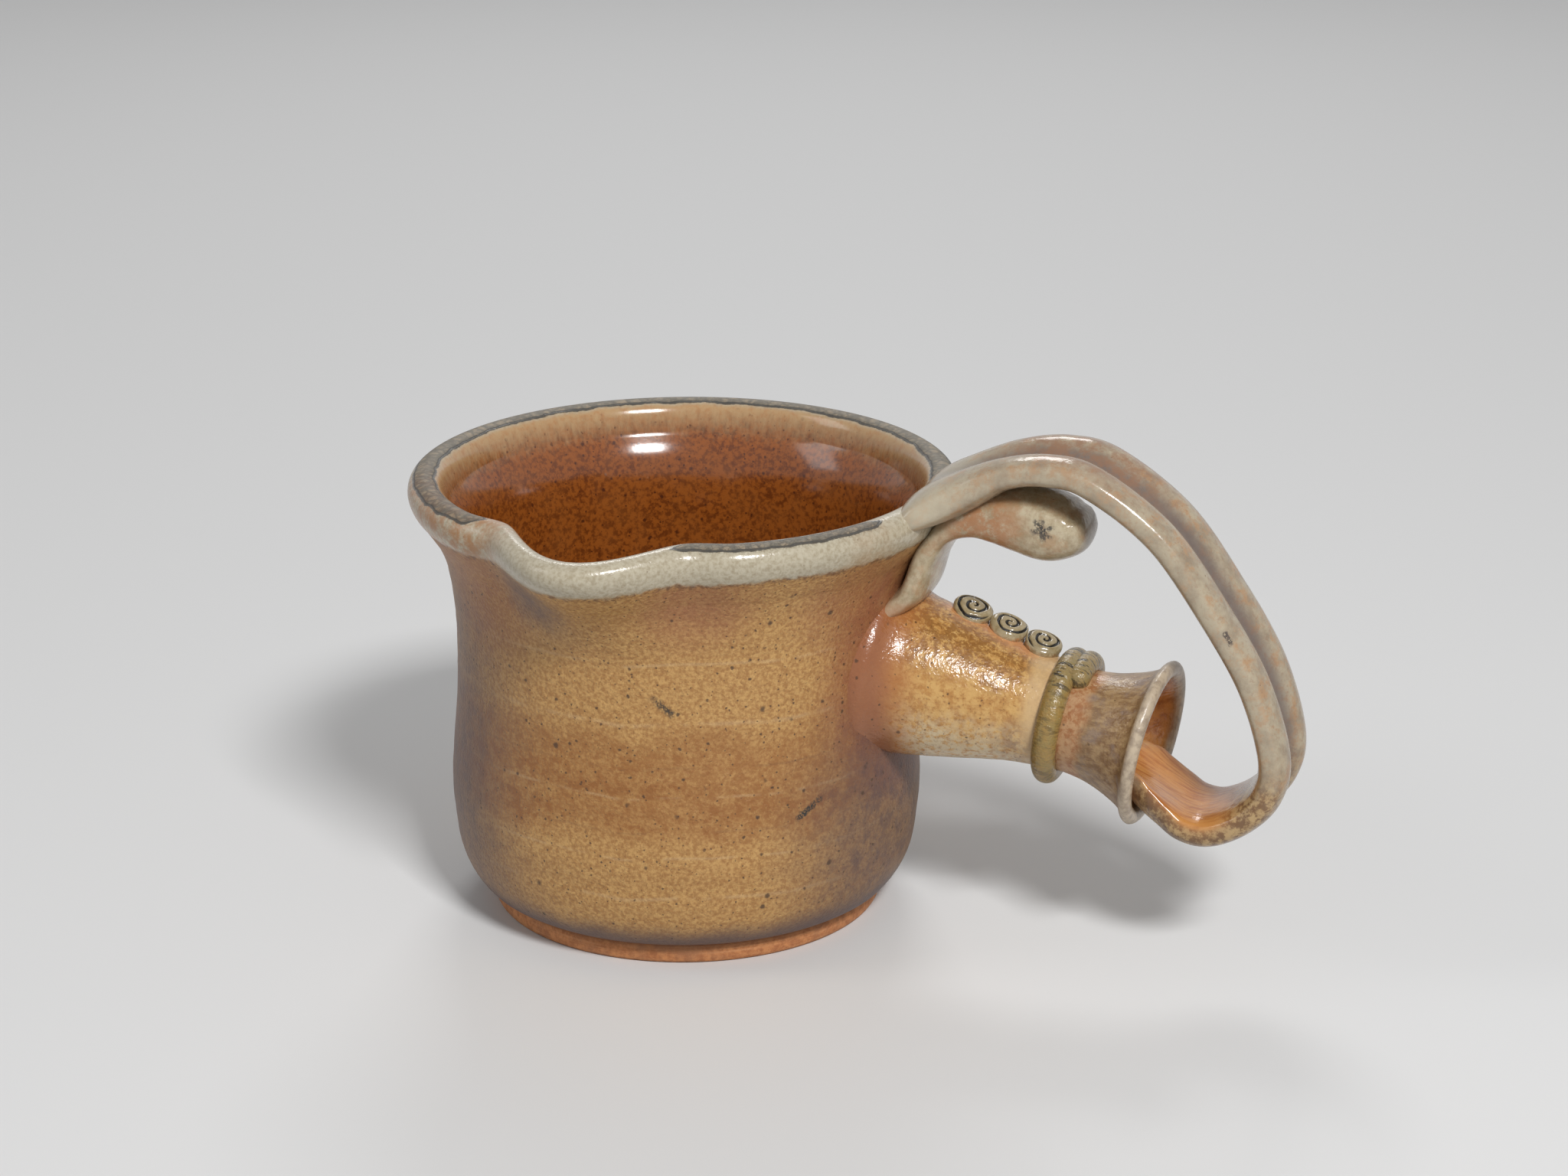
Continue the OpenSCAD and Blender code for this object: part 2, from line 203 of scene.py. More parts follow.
class Net:
    """Adds nodes to one tree, which may be a surface's or a shape's."""

    def __init__(self, tree):
        self.tree = tree

    def give(self, socket, value):
        if isinstance(value, Wire):
            self.tree.links.new(value.socket, socket)
        elif value is not None:
            socket.default_value = value

    def node(self, kind, values=None, **settings):
        node = self.tree.nodes.new(kind)
        for key, setting in settings.items():
            setattr(node, key, setting)
        for key, value in (values or {}).items():
            self.give(node.inputs[key], value)
        return node

    def out(self, node, key=0):
        return Wire(self, node.outputs[key])

    def math(self, operation, *values, clamp=False):
        node = self.node("ShaderNodeMath", operation=operation, use_clamp=clamp)
        for socket, value in zip(node.inputs, values):
            self.give(socket, value)
        return self.out(node)

    def vector(self, operation, *values):
        node = self.node("ShaderNodeVectorMath", operation=operation)
        for socket, value in zip(node.inputs, values):
            self.give(socket, value)
        return self.out(node)

    def scaled(self, vector, factor):
        node = self.node("ShaderNodeVectorMath", {0: vector, "Scale": factor}, operation="SCALE")
        return self.out(node)

    def length(self, vector):
        node = self.node("ShaderNodeVectorMath", {0: vector}, operation="LENGTH")
        return self.out(node, "Value")

    def parts(self, vector):
        node = self.node("ShaderNodeSeparateXYZ", {0: vector})
        return [self.out(node, k) for k in range(3)]

    def combine(self, x, y, z):
        return self.out(self.node("ShaderNodeCombineXYZ", {0: x, 1: y, 2: z}))

    def between(self, value, low, high, start=0.0, end=1.0, smooth=True):
        """`value` going from low to high becomes start to end."""
        node = self.node("ShaderNodeMapRange",
                         {"Value": value, "From Min": low, "From Max": high,
                          "To Min": start, "To Max": end},
                         interpolation_type="SMOOTHSTEP" if smooth else "LINEAR")
        return self.out(node)

    def noise(self, vector, scale, detail=2.0, roughness=0.5, distortion=0.0, key="Fac"):
        node = self.node("ShaderNodeTexNoise",
                         {"Vector": vector, "Scale": scale, "Detail": detail,
                          "Roughness": roughness, "Distortion": distortion})
        return self.out(node, key)

    def mix(self, factor, first, second, blend="MIX"):
        """Colour mix."""
        node = self.node("ShaderNodeMix", data_type="RGBA", blend_type=blend)
        self.give(node.inputs[0], factor)
        self.give(node.inputs[6], rgba(first))
        self.give(node.inputs[7], rgba(second))
        return self.out(node, 2)

    def blend(self, factor, first, second):
        """Number mix."""
        node = self.node("ShaderNodeMix", data_type="FLOAT")
        self.give(node.inputs[0], factor)
        self.give(node.inputs[2], first)
        self.give(node.inputs[3], second)
        return self.out(node, 0)


def rgba(colour):
    if isinstance(colour, (tuple, list)) and len(colour) == 3:
        return (*colour, 1.0)
    return colour


def new_group(name, kind, takes, gives):
    """A node group with named inputs and outputs, and wires for its inputs."""
    tree = bpy.data.node_groups.new(name, kind)
    for label, (socket_kind, default) in takes.items():
        item = tree.interface.new_socket(name=label, in_out="INPUT", socket_type=socket_kind)
        if default is not None:
            item.default_value = default
    for label, socket_kind in gives.items():
        tree.interface.new_socket(name=label, in_out="OUTPUT", socket_type=socket_kind)
    net = Net(tree)
    start = tree.nodes.new("NodeGroupInput")
    end = tree.nodes.new("NodeGroupOutput")
    wires = {label: Wire(net, start.outputs[label]) for label in takes}
    return tree, net, wires, end


GEOMETRY = "NodeSocketGeometry"
NUMBER = "NodeSocketFloat"
WHOLE = "NodeSocketInt"
VECTOR = "NodeSocketVector"
MATERIAL = "NodeSocketMaterial"

# Shape trees


def named(net, name, data_type="FLOAT"):
    node = net.node("GeometryNodeInputNamedAttribute", {"Name": name}, data_type=data_type)
    return net.out(node, "Attribute")


def keep(net, geometry, name, value, data_type="FLOAT"):
    node = net.node("GeometryNodeStoreNamedAttribute",
                    {"Geometry": geometry, "Name": name}, data_type=data_type, domain="POINT")
    net.give(node.inputs["Value"], value)
    return net.out(node)


def pick(net, geometry, value, index, data_type="FLOAT"):
    node = net.node("GeometryNodeSampleIndex", {"Geometry": geometry, "Index": index},
                    data_type=data_type, domain="POINT")
    net.give(node.inputs["Value"], value)
    return net.out(node)


def place_of(net):
    return net.out(net.node("GeometryNodeInputPosition"))


def set_place(net, geometry, place):
    return net.out(net.node("GeometryNodeSetPosition", {"Geometry": geometry, "Position": place}))


def woven_grid(net, profile, around):
    """A grid with one row for each profile point; also each point's row and its share of a turn."""
    size = net.node("GeometryNodeAttributeDomainSize", {"Geometry": profile}, component="MESH")
    rows = net.out(size, "Point Count")
    grid = net.node("GeometryNodeMeshGrid",
                    {"Size X": rows - 1.0, "Size Y": around, "Vertices X": rows,
                     "Vertices Y": around + 1.0})
    x, y, _ = net.parts(place_of(net))
    row = net.math("ROUND", x + (rows - 1.0) * 0.5)
    share = (y + around * 0.5) / around
    return net.out(grid, "Mesh"), row, share


def close_up(net, geometry, material, end):
    """Join the seam and the poles, smooth the shading and set the material."""
    merged = net.out(net.node("GeometryNodeMergeByDistance",
                              {"Geometry": geometry, "Distance": 0.000004}))
    smooth = net.out(net.node("GeometryNodeSetShadeSmooth", {"Geometry": merged}))
    finish_tree(net, smooth, material, end)


def finish_tree(net, geometry, material, end):
    real = net.out(net.node("GeometryNodeRealizeInstances", {"Geometry": geometry}))
    dressed = net.node("GeometryNodeSetMaterial", {"Geometry": real, "Material": material})
    net.give(end.inputs["Geometry"], net.out(dressed))


def turned_form_tree():
    """Turns a profile about the Z axis, with the soft rings that fingers leave in thrown clay."""
    tree, net, take, end = new_group(
        "Turned form", "GeometryNodeTree",
        {"Geometry": (GEOMETRY, None), "Around": (WHOLE, 96), "Ring height": (NUMBER, 0.004),
         "Ring depth": (NUMBER, 0.0), "Ring wander": (NUMBER, 0.4), "Material": (MATERIAL, None)},
        {"Geometry": GEOMETRY})
    grid, row, share = woven_grid(net, take["Geometry"], take["Around"])
    point = pick(net, take["Geometry"], place_of(net), row, "FLOAT_VECTOR")
    radius, _, height = net.parts(point)
    softness = pick(net, take["Geometry"], named(net, "softness"), row)
    turn = share * -2.0 * math.pi + 0.5 * math.pi
    cos = net.math("COSINE", turn)
    sin = net.math("SINE", turn)
    spot = net.combine(cos * take["Ring wander"], sin * take["Ring wander"],
                       height / take["Ring height"])
    ring = net.noise(spot, 1.0, 2.0, 0.45)
    radius = radius - ring * take["Ring depth"] * softness
    grid = keep(net, grid, "from_rim",
                pick(net, take["Geometry"], named(net, "from_rim"), row))
    grid = keep(net, grid, "thrown_height", height * 1000.0)
    grid = set_place(net, grid, net.combine(radius * cos, radius * sin, height))
    close_up(net, grid, take["Material"], end)
    return tree


def pulled_spout_tree():
    """Pulls the rim out and down over a narrow angle, with a pressed place on either side."""
    tree, net, take, end = new_group(
        "Pulled spout", "GeometryNodeTree",
        {"Geometry": (GEOMETRY, None), "Body height": (NUMBER, 0.09), "Reach": (NUMBER, 0.008),
         "Drop": (NUMBER, 0.002), "Spread": (NUMBER, 23.0), "Pinch": (NUMBER, 0.001),
         "Pinch width": (NUMBER, 6.0), "Material": (MATERIAL, None)},
        {"Geometry": GEOMETRY})
    x, y, z = net.parts(place_of(net))
    radius = net.math("SQRT", x * x + y * y)
    turn = net.math("ABSOLUTE", net.math("ARCTAN2", x, y * -1.0)) * math.degrees(1)
    swing = net.math("MINIMUM", turn / take["Spread"], 1.0) * (0.5 * math.pi)
    pull = net.math("POWER", net.math("COSINE", swing), 2.0)
    off = (turn - take["Spread"] - 1.0) / take["Pinch width"]
    pinch = net.math("EXPONENT", off * off * -1.0)
    lift = net.math("POWER", net.between(z / take["Body height"], 0.66, 1.0), 1.3)
    moved = radius + lift * (take["Reach"] * pull - take["Pinch"] * pinch)
    stretch = net.math("DIVIDE", moved, net.math("MAXIMUM", radius, 0.000001))
    spot = net.combine(x * stretch, y * stretch, z - take["Drop"] * pull * lift)
    finish_tree(net, set_place(net, take["Geometry"], spot), take["Material"], end)
    return tree


def pulled_strip_tree():
    """Sweeps a rounded flat section along a path. The section may have a groove and a hollow."""
    tree, net, take, end = new_group(
        "Pulled strip", "GeometryNodeTree",
        {"Geometry": (GEOMETRY, None), "Around": (WHOLE, 72), "Squareness": (NUMBER, 0.62),
         "Groove width": (NUMBER, 0.3), "Unevenness": (NUMBER, 0.0),
         "Lump size": (NUMBER, 0.012), "Material": (MATERIAL, None)},
        {"Geometry": GEOMETRY})
    path = take["Geometry"]
    grid, row, share = woven_grid(net, path, take["Around"])
    centre = pick(net, path, place_of(net), row, "FLOAT_VECTOR")
    outward = pick(net, path, named(net, "outward", "FLOAT_VECTOR"), row, "FLOAT_VECTOR")
    across = pick(net, path, named(net, "across", "FLOAT_VECTOR"), row, "FLOAT_VECTOR")
    half, thick, groove, dish, along = (
        pick(net, path, named(net, name), row)
        for name in ("half", "thick", "groove", "dish", "along"))
    turn = share * 2.0 * math.pi
    cos = net.math("COSINE", turn)
    sin = net.math("SINE", turn)
    bulge = net.math("POWER", net.math("ABSOLUTE", sin), take["Squareness"])
    near = cos / take["Groove width"]
    dent = net.math("EXPONENT", near * near * -1.0) * groove * net.math("GREATER_THAN", sin, 0.0)
    out = net.math("SIGN", sin) * bulge * thick * 0.5 - dent - dish * cos * cos
    spot = net.combine(cos * 0.4, sin * 0.4, along / (take["Lump size"] * 1000.0))
    less = 1.0 - net.noise(spot, 1.0, 1.5, 0.4) * take["Unevenness"]
    spot = net.vector("ADD", centre, net.scaled(outward, out * less))
    spot = net.vector("ADD", spot, net.scaled(across, half * cos * less))
    grid = keep(net, grid, "strip", net.combine(along, cos * half * 1000.0, sin), "FLOAT_VECTOR")
    grid = set_place(net, grid, spot)
    close_up(net, grid, take["Material"], end)
    return tree


def snail_groove_tree():
    """Presses a spiral groove into the top of a small round pad and bends the pad on a round stem."""
    tree, net, take, end = new_group(
        "Snail groove", "GeometryNodeTree",
        {"Geometry": (GEOMETRY, None), "Pitch": (NUMBER, 0.0016), "Groove depth": (NUMBER, 0.0006),
         "Groove width": (NUMBER, 0.3), "Start": (NUMBER, 0.0), "Edge": (NUMBER, 0.0035),
         "Top": (NUMBER, 0.002), "Stem radius": (NUMBER, 0.014), "Material": (MATERIAL, None)},
        {"Geometry": GEOMETRY})
    x, y, z = net.parts(place_of(net))
    wobble = net.noise(place_of(net), 420.0, 1.0)
    radius = net.math("SQRT", x * x + y * y)
    turn = net.math("ARCTAN2", y, x) / (2.0 * math.pi)
    phase = net.math("FRACT", radius / take["Pitch"] - turn + take["Start"] + wobble * 0.5)
    off = (phase - 0.5) / take["Groove width"]
    line = net.math("EXPONENT", off * off * -4.0)
    inside = net.between(radius, take["Edge"], take["Edge"] * 0.85)
    above = net.between(z, take["Top"] * 0.5, take["Top"] * 0.75)
    ridge = line * inside * above
    kept = keep(net, take["Geometry"], "spiral", ridge)
    kept = keep(net, kept, "top", above)
    sag = y * y / (take["Stem radius"] * 2.0)
    spot = net.combine(x, y, z - ridge * take["Groove depth"] - sag)
    finish_tree(net, set_place(net, kept, spot), take["Material"], end)
    return tree


def set_in_place_tree():
    """Turns and moves a finished form to its place on the jug."""
    tree, net, take, end = new_group(
        "Set in place", "GeometryNodeTree",
        {"Geometry": (GEOMETRY, None), "Turn": (VECTOR, (0.0, 0.0, 0.0)),
         "Place": (VECTOR, (0.0, 0.0, 0.0)), "Material": (MATERIAL, None)},
        {"Geometry": GEOMETRY})
    moved = net.node("GeometryNodeTransform",
                     {"Geometry": take["Geometry"], "Translation": take["Place"],
                      "Rotation": take["Turn"]})
    finish_tree(net, net.out(moved), take["Material"], end)
    return tree


TURNED = turned_form_tree()
SPOUT = pulled_spout_tree()
STRIP = pulled_strip_tree()
SNAIL = snail_groove_tree()
SET = set_in_place_tree()


def chain(name, points, numbers=None, vectors=None):
    """An object whose mesh is an open line of points in metres, each with its own values."""
    mesh = bpy.data.meshes.new(name)
    mesh.from_pydata(points, [(i, i + 1) for i in range(len(points) - 1)], [])
    for key, values in (numbers or {}).items():
        mesh.attributes.new(key, "FLOAT", "POINT").data.foreach_set("value", values)
    for key, values in (vectors or {}).items():
        flat = [part for value in values for part in value]
        mesh.attributes.new(key, "FLOAT_VECTOR", "POINT").data.foreach_set("vector", flat)
    piece = bpy.data.objects.new(name, mesh)
    bpy.context.scene.collection.objects.link(piece)
    return piece


def follow(piece, tree, **values):
    """Give the piece a shape tree with its own sizes."""
    modifier = piece.modifiers.new(tree.name, "NODES")
    modifier.node_group = tree
    for item in tree.interface.items_tree:
        key = item.name.lower().replace(" ", "_")
        if item.in_out == "INPUT" and key in values:
            modifier[item.identifier] = values.pop(key)
    if values:
        raise ValueError("no such input: " + ", ".join(values))


def trim(piece, cutter, kept=()):
    """Cut the piece's hidden end off inside the wall. Point values named in kept come back."""
    set_solid(piece)
    count = len(piece.data.vertices)
    tree = KDTree(count)
    for vertex in piece.data.vertices:
        tree.insert(vertex.co, vertex.index)
    tree.balance()
    values = {}
    for key in kept:
        flat = [0.0] * (3 * count)
        piece.data.attributes[key].data.foreach_get("vector", flat)
        values[key] = flat
    modifier = piece.modifiers.new("Trim", "BOOLEAN")
    modifier.operation = "DIFFERENCE"
    modifier.solver = "EXACT"
    modifier.object = cutter
    set_solid(piece)
    for key, flat in values.items():
        found = piece.data.attributes.get(key)
        if found:
            piece.data.attributes.remove(found)
        fresh = piece.data.attributes.new(key, "FLOAT_VECTOR", "POINT")
        for vertex in piece.data.vertices:
            source = tree.find(vertex.co)[1]
            fresh.data[vertex.index].vector = flat[3 * source:3 * source + 3]


def set_solid(piece):
    """Turn what the modifiers make into the piece's own closed mesh."""
    bpy.context.view_layer.update()
    graph = bpy.context.evaluated_depsgraph_get()
    mesh = bpy.data.meshes.new_from_object(piece.evaluated_get(graph))
    piece.modifiers.clear()
    old = piece.data
    piece.data = mesh
    bpy.data.meshes.remove(old)
    mesh.name = piece.name
    work = bmesh.new()
    work.from_mesh(mesh)
    bmesh.ops.remove_doubles(work, verts=work.verts, dist=0.000002)
    if work.calc_volume(signed=True) < 0:
        bmesh.ops.reverse_faces(work, faces=work.faces)
    work.to_mesh(mesh)
    work.free()
    for face in mesh.polygons:
        face.use_smooth = True


def hand_over(piece, slot, *nodes):
    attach(piece, "root")
    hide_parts(*nodes)


# Surface groups: effects that several glazes share


def surface_group(name, takes, gives):
    return new_group(name, "ShaderNodeTree", takes, gives)


def orange_peel_group():
    """Fine dimples of a salt glaze."""
    tree, net, take, end = surface_group(
        "Orange peel", {"Vector": (VECTOR, None), "Size": (NUMBER, 0.8), "Spread": (NUMBER, 0.5)},
        {"Height": NUMBER})
    fine = net.noise(take["Vector"], 1.0 / take["Size"], 2.0, 0.5)
    coarse = net.noise(take["Vector"], 0.3 / take["Size"], 2.0, 0.5)
    patch = net.between(coarse, 0.35, 0.65, 0.5, 1.0)
    height = net.between(fine, 0.5 - take["Spread"] * 0.4, 0.5 + take["Spread"] * 0.4) * patch
    net.give(end.inputs["Height"], height)
    return tree


def iron_speckle_group():
    """Round dark spots of iron, some bigger than others."""
    tree, net, take, end = surface_group(
        "Iron speckle",
        {"Vector": (VECTOR, None), "Spacing": (NUMBER, 2.0), "Radius": (NUMBER, 0.3),
         "Share": (NUMBER, 0.5)},
        {"Mask": NUMBER})
    warped = net.vector("ADD", take["Vector"],
                        net.scaled(net.noise(take["Vector"], 1.6, 2.0, key="Color"), 0.5))
    cell = net.node("ShaderNodeTexVoronoi",
                    {"Vector": warped, "Scale": 1.0 / take["Spacing"], "Randomness": 1.0})
    pick_one, size, _ = net.parts(net.out(cell, "Color"))
    reach = take["Radius"] / take["Spacing"] * net.between(size, 0.0, 1.0, 0.35, 1.0)
    spot = net.between(net.out(cell, "Distance"), reach, reach * 0.45)
    there = net.math("LESS_THAN", pick_one, take["Share"])
    net.give(end.inputs["Mask"], spot * there)
    return tree


def mottle_group():
    """Cloudy patches of a melted ash glaze."""
    tree, net, take, end = surface_group(
        "Ash mottle",
        {"Vector": (VECTOR, None), "Size": (NUMBER, 4.0), "Grain": (NUMBER, 0.6),
         "Low": (NUMBER, 0.4), "High": (NUMBER, 0.6)},
        {"Mask": NUMBER})
    cloud = net.noise(take["Vector"], 1.0 / take["Size"], 5.0, take["Grain"], 0.12)
    net.give(end.inputs["Mask"], net.between(cloud, take["Low"], take["High"]))
    return tree


def crackle_group():
    """Fine branching lines, as in a crawled or crazed glaze."""
    tree, net, take, end = surface_group(
        "Crackle",
        {"Vector": (VECTOR, None), "Size": (NUMBER, 2.0), "Line width": (NUMBER, 0.08)},
        {"Mask": NUMBER})
    warped = net.vector("ADD", take["Vector"],
                        net.scaled(net.noise(take["Vector"], 0.7, 3.0, key="Color"), 1.6))
    cell = net.node("ShaderNodeTexVoronoi", {"Vector": warped, "Scale": 1.0 / take["Size"]},
                    feature="DISTANCE_TO_EDGE")
    net.give(end.inputs["Mask"], net.between(net.out(cell, "Distance"), take["Line width"], 0.0))
    return tree


def blush_group():
    """A soft patch round one spot, with an uneven border."""
    tree, net, take, end = surface_group(
        "Blush",
        {"Vector": (VECTOR, None), "Spot": (VECTOR, (0.0, 0.0, 0.0)), "Radius": (NUMBER, 10.0),
         "Softness": (NUMBER, 8.0), "Raggedness": (NUMBER, 6.0)},
        {"Mask": NUMBER})
    away = net.length(net.vector("SUBTRACT", take["Vector"], take["Spot"]))
    ragged = (net.noise(take["Vector"], 0.18, 4.0, 0.6) - 0.5) * take["Raggedness"]
    net.give(end.inputs["Mask"],
             net.between(away + ragged, take["Radius"] + take["Softness"], take["Radius"]))
    return tree


def scuff_group():
    """A short worn stroke at one spot, along one direction."""
    tree, net, take, end = surface_group(
        "Scuff",
        {"Vector": (VECTOR, None), "Spot": (VECTOR, (0.0, 0.0, 0.0)),
         "Direction": (VECTOR, (1.0, 0.0, 0.0)), "Length": (NUMBER, 4.0), "Width": (NUMBER, 0.5)},
        {"Mask": NUMBER})
    shake = net.scaled(net.vector("SUBTRACT", net.noise(take["Vector"], 1.1, 3.0, key="Color"),
                                  (0.5, 0.5, 0.5)), 1.4)
    off = net.vector("ADD", net.vector("SUBTRACT", take["Vector"], take["Spot"]), shake)
    dot = net.node("ShaderNodeVectorMath", {0: off, 1: take["Direction"]}, operation="DOT_PRODUCT")
    along = net.out(dot, "Value")
    side = net.length(net.vector("SUBTRACT", off, net.scaled(take["Direction"], along)))
    stroke = net.between(side, take["Width"], take["Width"] * 0.4)
    reach = net.between(net.math("ABSOLUTE", along), take["Length"] * 0.5, take["Length"] * 0.3)
    crumbs = net.between(net.noise(take["Vector"], 2.5, 3.0, 0.6), 0.36, 0.5)
    net.give(end.inputs["Mask"], stroke * reach * crumbs)
    return tree


def shallow_ring_group():
    """A thin line round the jug at one height, as a finger or a rib leaves it."""
    tree, net, take, end = surface_group(
        "Thrown line",
        {"Vector": (VECTOR, None), "Height": (NUMBER, 50.0), "Width": (NUMBER, 0.5)},
        {"Mask": NUMBER})
    x, y, z = net.parts(take["Vector"])
    wander = (net.noise(net.combine(x * 0.04, y * 0.04, 0.0), 1.0, 2.0) - 0.5) * 3.0
    away = net.math("ABSOLUTE", z + wander - take["Height"])
    broken = net.between(net.noise(take["Vector"], 0.12, 3.0, 0.6), 0.4, 0.55)
    net.give(end.inputs["Mask"], net.between(away, take["Width"], 0.0) * broken)
    return tree


PEEL = orange_peel_group()
SPECKLE = iron_speckle_group()
MOTTLE = mottle_group()
CRACKLE = crackle_group()
BLUSH = blush_group()
SCUFF = scuff_group()
THROWN_LINE = shallow_ring_group()


class Glaze(Net):
    """A material under construction, with object coordinates in millimetres."""

    def __init__(self, name):
        self.material = bpy.data.materials.new(name)
        self.material.use_nodes = True
        super().__init__(self.material.node_tree)
        self.tree.nodes.clear()
        self.output = self.node("ShaderNodeOutputMaterial")
        self.surface = self.node("ShaderNodeBsdfPrincipled")
        self.tree.links.new(self.surface.outputs[0], self.output.inputs[0])
        coordinates = self.node("ShaderNodeTexCoord")
        self.mm = self.scaled(self.out(coordinates, "Object"), 1000.0)

    def attribute(self, name, key="Fac"):
        return self.out(self.node("ShaderNodeAttribute", attribute_name=name), key)

    def use(self, group, key, **values):
        node = self.node("ShaderNodeGroup", node_tree=group)
        self.give(node.inputs["Vector"], values.pop("vector", self.mm))
        for label, value in values.items():
            self.give(node.inputs[label.replace("_", " ").capitalize()], value)
        return self.out(node, key)

    def peel(self, size, spread=0.5, **more):
        return self.use(PEEL, "Height", size=size, spread=spread, **more)

    def speckle(self, spacing, radius, share, **more):
        return self.use(SPECKLE, "Mask", spacing=spacing, radius=radius, share=share, **more)

    def mottle(self, size, grain, low, high, **more):
        return self.use(MOTTLE, "Mask", size=size, grain=grain, low=low, high=high, **more)

    def crackle(self, size, line_width, **more):
        return self.use(CRACKLE, "Mask", size=size, line_width=line_width, **more)

    def blush(self, spot, radius, softness, raggedness=6.0):
        return self.use(BLUSH, "Mask", spot=spot, radius=radius, softness=softness,
                        raggedness=raggedness)

    def finish(self, colour, roughness, height, relief, coat=0.0, ior=1.5):
        """Connect the colour, roughness and surface relief (its depth in millimetres)."""
        self.give(self.surface.inputs["Base Color"], colour)
        self.give(self.surface.inputs["Roughness"], roughness)
        bump = self.node("ShaderNodeBump", {"Height": height, "Strength": 1.0,
                                            "Distance": relief * MM})
        self.tree.links.new(bump.outputs[0], self.surface.inputs["Normal"])
        self.surface.inputs["IOR"].default_value = ior
        self.surface.inputs["Coat Weight"].default_value = coat
        self.surface.inputs["Coat Roughness"].default_value = 0.08
        return self.material


# Colours of the clay and the glazes, and of the painted shade

TAN = (0.50, 0.29, 0.10)
OCHRE_BROWN = (0.335, 0.165, 0.048)
RUST = (0.255, 0.10, 0.022)
FLASH_PINK = (0.24, 0.082, 0.040)
JOIN_PINK = (0.25, 0.088, 0.038)
# Purple painted shade: the darker sides of the body, the place under the spout's lip and the band
# towards the foot
PAINTED_SHADE_PURPLE = (0.085, 0.048, 0.045)
SPOT_BROWN = (0.055, 0.026, 0.012)
CREAM = (0.47, 0.42, 0.315)
CREAM_SHADE = (0.335, 0.28, 0.19)
ASH_GREY = (0.085, 0.074, 0.06)
SOOT = (0.018, 0.016, 0.014)
LINER_PALE = (0.47, 0.30, 0.145)
LINER_RED = (0.27, 0.075, 0.011)
LINER_DARK = (0.075, 0.014, 0.003)
STEM_GOLD = (0.56, 0.335, 0.115)
STEM_BROWN = (0.23, 0.10, 0.026)
SLIP_ORANGE = (0.54, 0.23, 0.075)
OLIVE = (0.27, 0.19, 0.062)
BELL_BROWN = (0.20, 0.11, 0.048)
BELL_TAN = (0.36, 0.235, 0.115)
# Violet grey of the painted shade in the strap's groove
GROOVE_SHADE_VIOLET = (0.11, 0.082, 0.078)
CLAY_ORANGE = (0.56, 0.235, 0.085)


def azimuth(glaze):
    """Angle round the jug's axis, 0 to 360 degrees, from the handle."""
    x, y, _ = glaze.parts(glaze.mm)
    angle = glaze.math("ARCTAN2", y, x) * math.degrees(1)
    return glaze.math("FLOORED_MODULO", angle + 360.0, 360.0)


def window(glaze, value, low, high, soft):
    """1 where value lies between low and high, with soft ends."""
    return glaze.between(value, low, low + soft) * glaze.between(value, high, high - soft)


